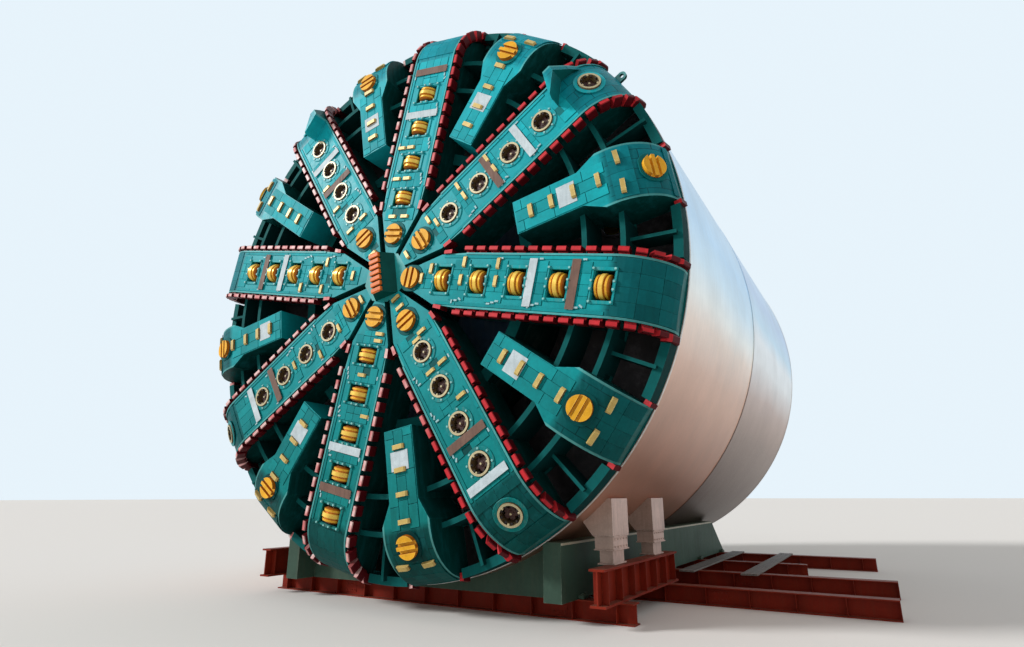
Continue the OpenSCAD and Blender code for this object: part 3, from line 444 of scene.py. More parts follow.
for number in range(8):
    angle = 45 * number
    dress(f"main_spoke_{number + 1}", spokePaint(f"spokeTeal{number + 1}", angle))
    dress(f"short_spoke_{number + 1}", spokePaint(f"armTeal{number + 1}", angle + halfStep))
for angle in cutterRows:
    number = angle // 45 + 1
    dress(f"cutter_row_{number}", cutterPaint(f"cutterGold{number}", angle))
for finish, names in {
    "ringTeal": "ring_beams", "hubTeal": "head_drum", "centreBit": "centre_bit", "cupGold": "cutter_cups",
    "hubGold": "fixed_cutters", "bitRed": "edge_bits", "bitCream": "face_bits", "seamDark": "seam_ring",
    "silverSkin": "front_shield rear_shield", "bulkheadGrey": "bulkhead", "driveBlue": "main_drive",
    "motorBlue": "drive_motors", "conveyorGrey": "screw_casing", "gateSteel": "screw_gate",
    "jackGrey": "thrust_jacks", "ramChrome": "thrust_rams_1 thrust_rams_2 thrust_rams_3 thrust_rams_4",
    "erectorYellow": "erector_frame erector_ring", "erectorOrange": "erector_arm", "sealWire": "tail_seal",
    "cradleGreen": "cradle", "bracketGrey": "side_brackets", "beamOxide": "base_frame",
}.items():
    for name in names.split():
        dress(name, finishes[finish])
print("packed solids dressed")


# Mesh helpers
def at(x, y, z):
    return Matrix.Translation((x, y, z))


def turned(degrees, axis):
    return Matrix.Rotation(math.radians(degrees), 4, axis)


axle = at(0, 0, head["axis"])


def headPlace(angle):
    return axle @ turned(-angle - head["park"], "Y")


def around(angle, radius, y, place=axle):
    # A spot round an axis: X outward, Y along the axis
    return place @ turned(-angle, "Y") @ at(radius, y, 0)


def row(place, *spots):
    return [place @ at(0, y, 0) for y in spots]


def circle(count, radius, y, place=axle, first=0, skip=()):
    # Evenly spaced spots round an axis; skip holds the (middle, half) angles left free
    angles = [first + 360 / count * k for k in range(count)]
    return [around(a, radius, y, place) for a in angles if all(abs(a - mid) > half for mid, half in skip)]


def onShoulder(turn):
    # X outward along the rounded shoulder, Y into the head
    a = math.radians(turn)
    spot = at(head["flat"] + head["shoulder"] * math.sin(a), head["shoulder"] * (1 - math.cos(a)), 0)
    return spot @ turned(turn, "Z")


def soften(part, edges, offset, segments=1):
    bmesh.ops.bevel(part, geom=edges, offset=offset, affect="EDGES", segments=segments, profile=0.5, material=-1)


def toMesh(bm, name):
    mesh = bpy.data.meshes.new(name)
    bm.to_mesh(mesh)
    bm.free()
    return mesh


def keep(part):
    bmesh.ops.recalc_face_normals(part, faces=part.faces)
    return toMesh(part, "part")


def block(size, bevel=0, segments=1):
    part = bmesh.new()
    bmesh.ops.create_cube(part, size=1, matrix=Matrix.Diagonal((*size, 1)))
    if bevel:
        soften(part, part.edges[:], bevel, segments)
    return keep(part)


def rod(radius, length, sides, bevel=0, start=0):
    # Round bar along Y
    part = bmesh.new()
    bmesh.ops.create_cone(part, cap_ends=True, segments=sides, radius1=radius, radius2=radius, depth=length,
                          matrix=at(0, start + length / 2, 0) @ turned(-90, "X"))
    if bevel:
        soften(part, [e for e in part.edges if len({round(v.co.y, 5) for v in e.verts}) == 1], bevel, 2)
    return keep(part)


def hoop(radius, size, steps):
    # Ring about Y whose section is (radial, along)
    part = bmesh.new()
    section = at(radius, 0, 0) @ Matrix.Diagonal((*size, 1, 1))
    bmesh.ops.create_grid(part, x_segments=1, y_segments=1, size=0.5, matrix=section)
    bmesh.ops.delete(part, geom=part.faces[:], context="FACES_ONLY")
    bmesh.ops.spin(part, geom=part.edges[:] + part.verts[:], cent=(0, 0, 0), axis=(0, 1, 0),
                   angle=math.radians(360), steps=steps, use_merge=True)
    return keep(part)


def stamp(bm, mesh, places, material=0, tone=0.5):
    # Adds a kept part at one place, or at each place of a list
    for place in places if isinstance(places, list) else [places]:
        points, skins = len(bm.verts), len(bm.faces)
        bm.from_mesh(mesh)
        bm.verts.ensure_lookup_table()
        bm.faces.ensure_lookup_table()
        bmesh.ops.transform(bm, matrix=place, verts=bm.verts[points:])
        layer = bm.faces.layers.float.get("tone")
        for face in bm.faces[skins:]:
            face.material_index = material
            if layer is not None:
                face[layer] = tone


def newShape(tone=False):
    bm = bmesh.new()
    if tone:
        bm.faces.layers.float.new("tone")
    return bm


def finishPiece(name, bm, coats, body="machine", smooth=0):
    # Moves the piece from the face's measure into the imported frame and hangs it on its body
    bmesh.ops.translate(bm, vec=(0, head["face"], 0), verts=bm.verts)
    mesh = toMesh(bm, name)
    for finish in coats:
        mesh.materials.append(finishes[finish])
    obj = newObject(name, mesh)
    if smooth:
        mesh.shade_smooth()
        mesh.set_sharp_from_angle(angle=math.radians(smooth))
    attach(obj, body)


# Wear plates and the frames round the cutters
plateCoat = dict(color=teal["mid"], dirt=0.3, tone=True, edge=0.02, scale=1.3, gloss=0.07, rough=0.5)
addFinishes(
    # Wear plates in painted shade darker towards the bottom; the shoulder copy is in deeper painted shade
    wearPlate=dict(plateCoat, worn=(0.05, 0.56, 0.6), dust=(0.01, 0.26, 0.28), heightShade=litRise),
    shoulderPlate=dict(plateCoat, worn=(0.03, 0.22, 0.22), dust=(0.006, 0.12, 0.12), wear=0.4, heightShade=shadeRise),
    # Dark bed under the plates and rings round the round cutters: painted shade in the gaps, painted shadow round the
    # cutters, darker towards the bottom
    plateBed=dict(color=(0.001, 0.1, 0.1), worn=(0.003, 0.13, 0.13), dust=(0.001, 0.06, 0.06), wear=0.2,
        gloss=0.08, rough=0.5, heightShade=((0.08, (0.001, 0.035, 0.033)), (0.42, (0.001, 0.1, 0.1)),
        (0.78, (0.004, 0.2, 0.21)))),
    # Cutter frames: painted shade darker towards the bottom
    collarTeal=dict(color=teal["mid"], worn=(0.06, 0.46, 0.46), wear=0.6, scale=2, heightShade=litRise, gloss=0.07),
    boltPale=dict(color=(0.16, 0.5, 0.48), worn=(0.6, 0.7, 0.66), wear=0.9, scale=4, gloss=0.2),
)
plates = {
    "gap": 0.016, "thick": 0.016, "shadeSheet": 0.004, "bevel": 0.005, "shortest": 0.12,
    "dropped": 0.07,  # share of the middle plates that are missing
    # From, to, spacing of the joints and where the first one lies, in steps of the cutters
    "mainRows": ((0, 0.29, 1, 0.5), (0.29, 0.585, 0.5, 0.25), (0.63, 0.725, 2, 0)),
    "armRows": ((0.165, 0.47, 0.72, 0.2),),
    "turnRows": ((0, 0.36), (0.36, 0.725)),
    "collar": (0.66, 0.92),
    "end": 7.27,
    "hoodStart": 6.93,  # the plates stop here on the side of a spoke that carries a hood
    "turnFirst": 4, "turnStep": 23.5, "turnEnd": 78.5,
}
plateCoats = ["wearPlate", "plateBed", "shoulderPlate"]
hoodSides = {45: 1, 135: -1}
armTops = (48, 10, 5, 48, 10, 5, 16, 14)  # turn of each short spoke's round cutter


def seats(rows, angle):
    first, step, count = rows[angle]
    return first, step, [first + step * n for n in range(count)]


def freeRuns(start, end, blocked):
    # What is left of a line after the blocked spans
    runs = []
    for low, high in sorted(blocked):
        if low > start:
            runs.append((start, min(low, end)))
        start = max(start, high)
    if end > start:
        runs.append((start, end))
    return [(a, b) for a, b in runs if b - a > 0.1]


def layPlates(bm, rows, first, pitch, start, ends, blocked, seed):
    chance = random.Random(seed)
    half = math.radians(halfStep)
    stock = {}
    for low, high, spacing, shift in rows:
        across = round(high - low - plates["gap"] / 2, 3)
        begin = max(start, ((high + 0.05) * math.cos(half) + head["slot"] / 2) / math.sin(half))
        spans = [(a, b) for a, b, wide in blocked if low < wide]
        for side in (1, -1):
            middle = side * (low + high) / 2
            base = first + pitch * (shift if side > 0 else shift + 0.5 * (spacing > 1.5))
            cuts = [base + pitch * spacing * n for n in range(-12, 13)]
            for a, b in freeRuns(begin, ends[side], spans):
                # A dark sheet under each run of plates, painted shade in the gaps between them
                shadeSheet = block((b - a, plates["shadeSheet"], high - low))
                stamp(bm, shadeSheet, at((a + b) / 2, -plates["shadeSheet"] / 2, middle), 1)
                edges = [a] + [c for c in cuts if a + plates["shortest"] < c < b - plates["shortest"]] + [b]
                for x0, x1 in zip(edges, edges[1:]):
                    size = (round(x1 - x0 - plates["gap"], 3), plates["thick"], across)
                    if low == 0 and chance.random() < plates["dropped"]:
                        continue
                    if size not in stock:
                        stock[size] = block(size, plates["bevel"])
                    place = at((x0 + x1) / 2, -plates["shadeSheet"] - plates["thick"] / 2, middle)
                    stamp(bm, stock[size], place, 0, chance.random())


def layShoulder(bm, blocked, seed):
    # Plates bent round the shoulder, each out of three flat strips
    chance = random.Random(seed)
    parts = 3
    each = plates["turnStep"] / parts
    length = 2 * head["shoulder"] * math.tan(math.radians(each / 2)) + 0.003
    for low, high in plates["turnRows"]:
        strip = block((length, plates["thick"] + 0.004, high - low - plates["gap"] / 2))
        for side in (1, -1):
            turn = plates["turnFirst"]
            while turn + plates["turnStep"] <= plates["turnEnd"]:
                tone = chance.random()
                for n in range(parts):
                    spot = turn + each * (n + 0.5)
                    if not any(abs(spot - mid) < half and low < wide for mid, half, wide in blocked):
                        place = onShoulder(spot) @ at(0, -0.004, side * (low + high) / 2)
                        stamp(bm, strip, place, 2, tone)
                turn += plates["turnStep"] + 0.6


def collarMesh(outer, thick, hole=None, radius=None):
    # Flat frame round a pocket, or round a cup where a radius is given
    part = bmesh.new()
    if radius:
        ring = bmesh.ops.create_circle(part, segments=32, radius=radius)["verts"]
        edges = {e for v in ring for e in v.link_edges}
        grown = bmesh.ops.extrude_edge_only(part, edges=list(edges))["geom"]
        for v in grown:
            if isinstance(v, bmesh.types.BMVert):
                far = max(abs(v.co.x), abs(v.co.y))
                v.co *= min(outer[0] / 2 / far, 1.35 * radius / v.co.length)
    else:
        bmesh.ops.create_grid(part, x_segments=1, y_segments=1, size=0.5, matrix=Matrix.Diagonal((*outer, 1, 1)))
        bmesh.ops.inset_individual(part, faces=part.faces[:], thickness=(outer[0] - hole[0]) / 2)
        inner = next(f for f in part.faces if f.calc_center_median().length < 1e-3)
        for v in inner.verts:
            v.co.y = math.copysign(hole[1] / 2, v.co.y)
        bmesh.ops.delete(part, geom=[inner], context="FACES_ONLY")
    bmesh.ops.transform(part, matrix=turned(90, "X"), verts=part.verts)
    bmesh.ops.recalc_face_normals(part, faces=part.faces)
    raised = bmesh.ops.extrude_face_region(part, geom=part.faces[:])["geom"]
    bmesh.ops.translate(part, vec=(0, -thick, 0), verts=[g for g in raised if isinstance(g, bmesh.types.BMVert)])
    bmesh.ops.recalc_face_normals(part, faces=part.faces)
    rims = [e for e in part.edges if all(v.co.y < -thick / 2 for v in e.verts) and len(e.link_faces) == 2
            and e.calc_face_angle(0) > 0.5]
    soften(part, rims, thick * 0.3)
    return keep(part)


def finishSpoke(name, bm, coats, angle):
    bmesh.ops.transform(bm, matrix=headPlace(angle), verts=bm.verts)
    finishPiece(name, bm, coats, "cutterhead")


def cutterSeat(trims, r, trim, parts, framed):
    # Clamps at both ends of a roller cutter, and a frame with pads where the spoke is wide enough
    if framed:
        stamp(trims, parts["collar"], at(r, 0, 0))
        corners = [(r + sx * trim["padX"], sz * trim["padZ"]) for sx in (-1, 1) for sz in (-1, 1)]
        stamp(trims, parts["pad"], [at(x, -0.035, z) for x, z in corners])
        stamp(trims, parts["bolt"], [at(x, -0.058, z) for x, z in corners], 1)
    for x in (r - trim["clampX"], r + trim["clampX"]):
        stamp(trims, parts["clamp"], at(x, -0.04, 0))
        stamp(trims, parts["bolt"], [at(x, -0.066, z) for z in (-0.1, 0.1)], 1)


def mainDetails(number, trim, parts):
    angle = 45 * number
    rollers = angle in cutterRows
    first, step, holes = seats(cutterRows if rollers else cupRows, angle)
    bm, trims = newShape(tone=True), newShape()
    x, z = (plates["collar"][0] / 2 + 0.012, plates["collar"][1] / 2) if rollers else (0.42, 0.4)
    blocked = [(r - x, r + x, z) for r in holes]
    if angle in hubCutters:
        r = hubCutters[angle]
        blocked.append((r - 0.41, r + 0.41, 0.36))
        # A dark ring round the hub cutter, a painted shadow
        stamp(trims, parts["shadowRing"], at(r, 0, 0), 2)
    hood = hoodSides.get(angle, 0)
    ends = {side: plates["hoodStart"] if side == hood else plates["end"] for side in (1, -1)}
    layPlates(bm, plates["mainRows"], first, step, 1, ends, blocked, number)
    if not hood:
        layShoulder(bm, [] if rollers else [(cupTurn, 18, 0.42)], 40 + number)
    half = math.radians(halfStep)
    for r in holes:
        if rollers:
            room = ((r - 0.34) * math.sin(half) - head["slot"] / 2) / math.cos(half)
            cutterSeat(trims, r, trim, parts, room > plates["collar"][1] / 2)
        else:
            stamp(trims, parts["ringCollar"], at(r, 0, 0))
            turns = [math.radians(22.5 + 45 * k) for k in range(8)]
            stamp(trims, parts["bolt"], [at(r + 0.375 * math.cos(a), -0.026, 0.375 * math.sin(a)) for a in turns], 1)
    if not rollers:
        stamp(trims, parts["ringCollar"], onShoulder(cupTurn))
    finishSpoke(f"wearPlates{number + 1}", bm, plateCoats, angle)
    finishSpoke(f"cutterSeats{number + 1}", trims, ["collarTeal", "boltPale", "plateBed"], angle)


def armDetails(number, parts):
    arm = newShape(tone=True)
    top, start = armTops[number], head["armStart"]
    reach = head["flat"] + head["shoulder"] * math.sin(math.radians(top)) - 0.4
    close = [(reach, 9, 0.4)] if reach < plates["end"] else []
    ends = {1: plates["end"], -1: plates["end"]}
    layPlates(arm, plates["armRows"], start, 1.25, start + 0.03, ends, close, 20 + number)
    run, lanes = min(reach, 7.2) - start - 0.1, 4
    # A dark sheet under the lanes, painted shade in the gaps between them
    stamp(arm, block((run, 0.006, 0.32)), at(start + 0.05 + run / 2, -0.003, 0), 1)
    lane = block((run / lanes - plates["gap"], plates["thick"], 0.31), plates["bevel"])
    for n in range(lanes):
        stamp(arm, lane, at(start + 0.05 + run * (n + 0.5) / lanes, -0.01, 0), 0, 0.15 + 0.2 * (n % 2))
    layShoulder(arm, [(top, 22, 0.42)], 60 + number)
    # A dark ring round the round cutter, a painted shadow
    stamp(arm, parts["shadowRing"], onShoulder(top), 1)
    finishSpoke(f"armPlates{number + 1}", arm, plateCoats, 45 * number + halfStep)


def spokeDetails():
    trim = {"frame": 0.03, "pad": (0.085, 0.05, 0.085), "padX": 0.285, "padZ": 0.413,
            "clamp": (0.085, 0.055, 0.3), "clampX": 0.298, "cupFrame": (0.86, 0.86), "shadowRing": (0.8, 0.8)}
    parts = {
        "collar": collarMesh(plates["collar"], trim["frame"], hole=head["pocket"]),
        "ringCollar": collarMesh(trim["cupFrame"], 0.028, radius=head["cup"] + 0.012),
        "shadowRing": collarMesh(trim["shadowRing"], 0.026, radius=head["cup"] + 0.004),
        "pad": block(trim["pad"], 0.012),
        "clamp": block(trim["clamp"], 0.014),
        "bolt": rod(0.03, 0.03, 6, start=-0.03),
    }
    for number in range(8):
        mainDetails(number, trim, parts)
        armDetails(number, parts)


spokeDetails()
print("wear plates laid")

# Cups and the centre bit
addFinishes(
    cupDark=dict(color=(0.008, 0.006, 0.007), worn=(0.12, 0.07, 0.06), scale=4, rough=0.6),
    cupRotor=dict(color=(0.045, 0.014, 0.012), worn=(0.24, 0.11, 0.08), wear=0.6, scale=5, rough=0.4, gloss=0.2),
    toothOrange=dict(color=(0.72, 0.15, 0.012), worn=(0.92, 0.42, 0.12), wear=0.8, scale=3, gloss=0.15),
)


def cupInserts():
    # Dark lining, lobed rotor and pale teeth that point inward from the rim of each cup
    shape = {"lining": 0.253, "floor": 0.262, "lobes": 5, "lobe": 0.075, "lobeAt": 0.115, "hub": 0.085,
             "deep": 0.06, "teeth": 9, "toothAt": 0.226}
    lining = rod(shape["lining"], 0.012, 32, start=shape["floor"])
    lobe = rod(shape["lobe"], 0.2, 12, bevel=0.018)
    hub = rod(shape["hub"], 0.24, 12, bevel=0.02)
    stud = rod(0.028, 0.05, 8)
    tooth = block((0.062, 0.055, 0.058), 0.012)
    bm = newShape()
    for angle in cupRows:
        for spot in [at(r, 0, 0) for r in seats(cupRows, angle)[2]] + [onShoulder(cupTurn)]:
            place = headPlace(angle) @ spot @ turned(20, "Y")
            stamp(bm, lining, place)
            stamp(bm, hub, row(place, shape["deep"] - 0.02), 1)
            stamp(bm, stud, row(place, shape["deep"] - 0.05), 2)
            stamp(bm, lobe, circle(shape["lobes"], shape["lobeAt"], shape["deep"], place), 1)
            stamp(bm, tooth, circle(shape["teeth"], shape["toothAt"], -0.03, place, first=-12))
            stamp(bm, tooth, circle(3, shape["toothAt"] + 0.012, -0.046, place, first=-30), 2)
    finishPiece("cupRotors", bm, ["cupDark", "cupRotor", "cupGold"], "cutterhead")


def centreTeeth():
    # Hard front edges on the centre bit's teeth
    bit = {"count": 7, "half": 0.65, "size": (0.135, 0.1, 0.38), "front": 0.45, "angle": 112.5}
    bm = newShape()
    step = 2 * bit["half"] / bit["count"]
    spots = [-bit["half"] + step * (n + 0.5) for n in range(bit["count"])]
    stamp(bm, block(bit["size"], 0.022, 2), [headPlace(bit["angle"]) @ at(x, -bit["front"] + 0.03, 0) for x in spots])
    finishPiece("centreTeeth", bm, ["toothOrange"], "cutterhead")


cupInserts()
centreTeeth()
print("cups and centre bit finished")

# Blank bands, blank labels and small clips
addFinishes(
    bandWhite=dict(color=(0.52, 0.6, 0.63), worn=(0.8, 0.8, 0.8), dust=(0.3, 0.37, 0.4), wear=0.3, scale=3,
        dirt=0.4, strength=0.15, gloss=0.15, rough=0.5),
    bandCopper=dict(color=(0.17, 0.095, 0.07), worn=(0.45, 0.32, 0.25), dust=(0.08, 0.045, 0.04), wear=0.3,
        scale=3, dirt=0.5, gloss=0.15, rough=0.5),
    clipPale=dict(color=(0.3, 0.52, 0.55), worn=(0.7, 0.85, 0.85), wear=0.8, scale=4, gloss=0.15),
)


def blankBands():
    # Radii of the bands on each main spoke, their colours in turns, and of each short one's label
    strips = ((5.13, 6.36), (4.5, 5.7), (5.33, 6.85), (4.5, 5.68), (4.81, 5.84), (5.32, 6.42), (5.16, 6.32),
              (5.83, 7.05))
    labels = (6.18, 5.9, 5.76, None, 5.4, 5.44, 5.5, 5.56)
    bm = newShape()
    strip = block((0.235, 0.014, 1.28), 0.004)
    foot = block((0.1, 0.034, 0.05), 0.006)
    label = block((0.52, 0.012, 0.6), 0.004)
    clip = block((0.11, 0.02, 0.05), 0.006)
    for number, pair in enumerate(strips):
        for k, r in enumerate(pair):
            place = headPlace(45 * number) @ at(r, 0, 0)
            stamp(bm, strip, place @ at(0, -0.055, 0), (number + k) % 2)
            stamp(bm, foot, [place @ at(0, -0.034, z) for z in (-0.6, -0.2, 0.2, 0.6)], 2)
    for number, r in enumerate(labels):
        if r:
            stamp(bm, label, headPlace(45 * number + halfStep) @ at(r, -0.027, 0))
    chance = random.Random(7)
    for angle, (first, step, count) in {**cutterRows, **cupRows}.items():
        for n in range(count + 1):
            middle = first + step * (n - 0.5)
            if not 2.4 <= middle <= 6.9:
                continue
            for k in range(3):
                spin = turned(chance.choice((0, 0, 90, 35)), "Y")
                stamp(bm, clip, headPlace(angle) @ at(middle - 0.12 + 0.13 * k, -0.028, -0.62 + 0.04 * k) @ spin, 2)
            stamp(bm, clip, headPlace(angle) @ at(middle + 0.05, -0.028, 0.64), 2)
    finishPiece("blankBands", bm, ["bandWhite", "bandCopper", "clipPale"], "cutterhead")


blankBands()
print("blank bands placed")

# Beads and edges of the shield
addFinishes(edgeSilver=dict(color=(0.78, 0.76, 0.73), worn=(0.95, 0.95, 0.95), dust=(0.5, 0.46, 0.42), metal=0.4))


def shieldTrims():
    trim = {"radius": 8.7, "beads": (9.94, 10.1), "bead": (0.018, 0.035), "ends": (1.51, 20.46), "lip": (0.02, 0.07)}
    bm = newShape()
    stamp(bm, hoop(trim["radius"] + 0.002, trim["bead"], 192), row(axle, *trim["beads"]))
    stamp(bm, hoop(trim["radius"] + 0.004, trim["lip"], 192), row(axle, *trim["ends"]), 1)
    finishPiece("shieldBeads", bm, ["silverSkin", "edgeSilver"], smooth=35)


shieldTrims()
print("shield trims made")

# Cradle, brackets and the frame below
addFinishes(
    edgeCream=dict(color=(0.42, 0.38, 0.27), worn=(0.6, 0.58, 0.5), dust=(0.25, 0.22, 0.16), wear=0.6, dirt=0.4),
    plankGrey=dict(color=(0.17, 0.145, 0.13), worn=(0.35, 0.33, 0.31), dust=(0.1, 0.08, 0.07), wear=0.7, dirt=0.5,
        scale=3, rough=0.6),
)


def cradleTrims():
    girder = {"x": 4.93, "top": 1.9, "front": 1.5, "rear": 16.8, "foot": 0.5, "clamps": (2.6, 6.45, 10.3, 14.15, 18)}
    bm = newShape()
    middle = (girder["front"] + girder["rear"]) / 2
    strip = block((0.014, girder["rear"] - girder["front"] - 0.02, 0.055), 0.003)
    clamp = block((0.16, 0.34, 0.1), 0.015)
    bolt = rod(0.035, 0.05, 6)
    for side in (-1, 1):
        stamp(bm, strip, at(side * (girder["x"] + 0.006), middle, girder["top"] - 0.04))
        for y in girder["clamps"]:
            stamp(bm, clamp, at(side * (girder["x"] + 0.07), y, girder["foot"] + 0.05), 1)
            for spot in (y - 0.09, y + 0.09):
                place = at(side * (girder["x"] + 0.09), spot, girder["foot"] + 0.09)
                stamp(bm, bolt, place @ turned(90, "X"), 1)
    finishPiece("cradleEdges", bm, ["edgeCream", "cradleGreen"])


def bracketTrims():
    # Lips and bolts of the sleeves below the side brackets
    foot = {"x": 5.73, "y": (2.28, 5.38), "wide": 1.1, "boxLow": 2.05, "sleeveLow": 1.69, "stand": 1.35}
    bm = newShape()
    lip = block((0.56, 1.04, 0.03), 0.008)
    base = block((0.46, 0.84, 0.04), 0.01)
    bolt = rod(0.022, 0.03, 6)
    for side in (-1, 1):
        for y in foot["y"]:
            place = at(side * foot["x"], y + foot["wide"] / 2, 0)
            stamp(bm, lip, [place @ at(0, 0, z) for z in (foot["boxLow"] - 0.018, foot["sleeveLow"] + 0.018)])
            stamp(bm, base, place @ at(0, 0, foot["stand"] + 0.02))
            turn = turned(-side * 90, "Z")
            for z in (foot["boxLow"] - 0.09, foot["sleeveLow"] + 0.09):
                stamp(bm, bolt, [place @ at(side * 0.245, 0.2 * k - 0.4, z) @ turn for k in range(5)])
    finishPiece("bracketLips", bm, ["bracketGrey"])


def frameTrims():
    # Web plates in the beams and splices with bolts
    beam = {"first": 2.6, "pitch": 3.85, "half": (6.4, 11.9, 11.9, 9, 11.2), "deep": 0.5, "wide": 0.4,
            "step": 1.189, "splice": 0.58}
    side = {"x": 5.9, "from": 1.65, "to": 6.95, "low": 0.5, "deep": 0.85, "ribs": 7}
    flange, web, middle = beam["deep"] / 16, beam["deep"] / 24, beam["deep"] / 2
    bm = newShape()
    plate = block((0.014, (beam["wide"] - web) / 2 - 0.006, beam["deep"] - 2 * flange - 0.002))
    splice = block((0.46, 0.014, 0.3), 0.004)
    bolt = rod(0.018, 0.02, 6)
    for k, half in enumerate(beam["half"]):
        y = beam["first"] + beam["pitch"] * k
        count = int(half / beam["step"])
        for s in (-1, 1):
            aside = y + s * (beam["wide"] + web) / 4
            stamp(bm, plate, [at(n * beam["step"], aside, middle) for n in range(-count, count + 1)])
            for x in (0.6 - beam["splice"] * half, 0.6 + beam["splice"] * half):
                stamp(bm, splice, at(x, y + s * (web / 2 + 0.007), middle))
                turn = turned(0 if s > 0 else 180, "Z")
                stamp(bm, bolt, [at(x + bx, y + s * (web / 2 + 0.014), middle + bz) @ turn
                                 for bx in (-0.16, -0.05, 0.05, 0.16) for bz in (-0.09, 0.09)])
    flange, web = side["deep"] / 16, side["deep"] / 24
    rib = block(((beam["wide"] - web) / 2 - 0.006, 0.014, side["deep"] - 2 * flange - 0.002))
    spots = [side["from"] + n * (side["to"] - side["from"]) / (side["ribs"] - 1) for n in range(side["ribs"])]
    for s in (-1, 1):
        for x in [s * side["x"] + t * (beam["wide"] + web) / 4 for t in (-1, 1)]:
            stamp(bm, rib, [at(x, y, side["low"] + side["deep"] / 2) for y in spots])
    finishPiece("beamRibs", bm, ["beamOxide"])


def planks():
    walk = {"top": 0.5, "rows": (5.52, 5.7, 5.88, 7.57, 7.75, 7.93), "wide": 0.165, "thick": 0.055,
            "spans": ((9.5, 14.15), (14.16, 18.2))}
    bm = newShape()
    chance = random.Random(3)
    for side in (-1, 1):
        for x in walk["rows"]:
            for a, b in walk["spans"]:
                middle = (a + b) / 2 + chance.uniform(-0.05, 0.05)
                place = at(side * x, middle, walk["top"] + walk["thick"] / 2 + 0.001)
                stamp(bm, block((walk["wide"], b - a, walk["thick"]), 0.008), place)
    finishPiece("walkPlanks", bm, ["plankGrey"])


cradleTrims()
bracketTrims()
frameTrims()
planks()
print("cradle and frame trimmed")

# Inside the shield
addFinishes(
    pipeSteel=dict(color=(0.3, 0.31, 0.32), worn=(0.6, 0.6, 0.6), wear=0.6, scale=3, metal=0.6),
    boxGreen=dict(color=(0.1, 0.22, 0.14), worn=(0.4, 0.42, 0.38), wear=0.7, scale=2),
    padBlack=dict(color=(0.022, 0.022, 0.024), worn=(0.12, 0.12, 0.12), wear=0.6, scale=4, rough=0.7),
)


def motorTrims():
    # Cooling ribs, flange bolts and a terminal box on every drive motor
    motor = {"at": 4.325, "y": 5.8, "places": 24, "radius": 0.3, "length": 1.5, "fins": 9, "low": (270, 20)}
    bm = newShape()
    fin = hoop(motor["radius"] + 0.012, (0.05, 0.022), 20)
    bolt = rod(0.022, 0.03, 6)
    box = block((0.16, 0.34, 0.26), 0.02)
    capEnd = rod(0.2, 0.06, 20, bevel=0.015)
    for place in circle(motor["places"], motor["at"], motor["y"], first=180 / motor["places"], skip=(motor["low"],)):
        stamp(bm, fin, row(place, *[0.16 + 0.12 * n for n in range(motor["fins"])]))
        stamp(bm, bolt, circle(10, motor["radius"] + 0.03, -0.002, place), 2)
        stamp(bm, box, place @ at(-0.34, 0.75, 0), 1)
        stamp(bm, capEnd, row(place, motor["length"] - 0.004))
    finishPiece("motorRibs", bm, ["motorBlue", "boxGreen", "pipeSteel"], smooth=40)


def driveTrims():
    # Bolt circles of the drive housing and the bulkhead, ribs, and frames round the two doors
    drive = {"bolts": ((4.86, 5.398, 72), (3.98, 5.398, 60), (5.15, 3.348, 80), (7.9, 3.198, 96)), "doors": (6.2, 1.5),
             "doorY": (2.985, 3.215), "ribs": (24, 6.75, 3.279), "noRibs": ((270, 18), (13.6, 8), (166.4, 8))}
    bm = newShape()
    bolt = rod(0.045, 0.05, 6)
    for radius, y, count in drive["bolts"]:
        stamp(bm, bolt, circle(count, radius, y, skip=((270, 9),) if radius > 7 else ()))
    x, z = drive["doors"]
    stamp(bm, hoop(0.47, (0.09, 0.07), 32), [axle @ at(s * x, y, z) for s in (-1, 1) for y in drive["doorY"]], 1)
    stamp(bm, block((2.2, 0.16, 0.05), 0.006), circle(*drive["ribs"], first=7.5, skip=drive["noRibs"]), 1)
    finishPiece("driveBolts", bm, ["pipeSteel", "bulkheadGrey"])


def jackTrims():
    # Flanges, ports, pipes and pads of the thrust jacks
    jack = {"count": 32, "at": 8.05, "web": 8.4, "end": 11.6, "radius": 0.21, "shoe": 11.8003}
    bm = newShape()
    flange = hoop(jack["radius"] + 0.03, (0.07, 0.06), 24)
    gland = hoop(jack["radius"] + 0.012, (0.03, 0.16), 24)
    port = block((0.1, 0.12, 0.1), 0.012)
    bolt = rod(0.018, 0.03, 6)
    pipe = rod(0.022, jack["end"] - jack["web"] - 0.7, 8)
    pad = block((0.54, 0.04, 0.84), 0.012)
    first = 180 / jack["count"]
    for place in circle(jack["count"], jack["at"], 0, first=first):
        stamp(bm, flange, row(place, jack["web"] + 0.032))
        stamp(bm, gland, row(place, jack["end"] - 0.09), 1)
        for y in (jack["web"] + 0.35, jack["end"] - 0.3):
            stamp(bm, port, place @ at(-jack["radius"] - 0.035, y, 0), 1)
        stamp(bm, bolt, circle(8, jack["radius"] + 0.03, jack["web"] + 0.06, place, first=22.5), 1)
        stamp(bm, pipe, place @ at(-jack["radius"] - 0.06, jack["web"] + 0.4, 0), 1)
    finishPiece("jackFlanges", bm, ["jackGrey", "pipeSteel"], smooth=40)
    shoes = circle(jack["count"], jack["at"], jack["shoe"] + 0.02, first=first)
    for group in range(4):
        pads = newShape()
        stamp(pads, pad, shoes[8 * group:8 * group + 8])
        finishPiece(f"shoePads{group + 1}", pads, ["padBlack"], f"rams_{group + 1}")


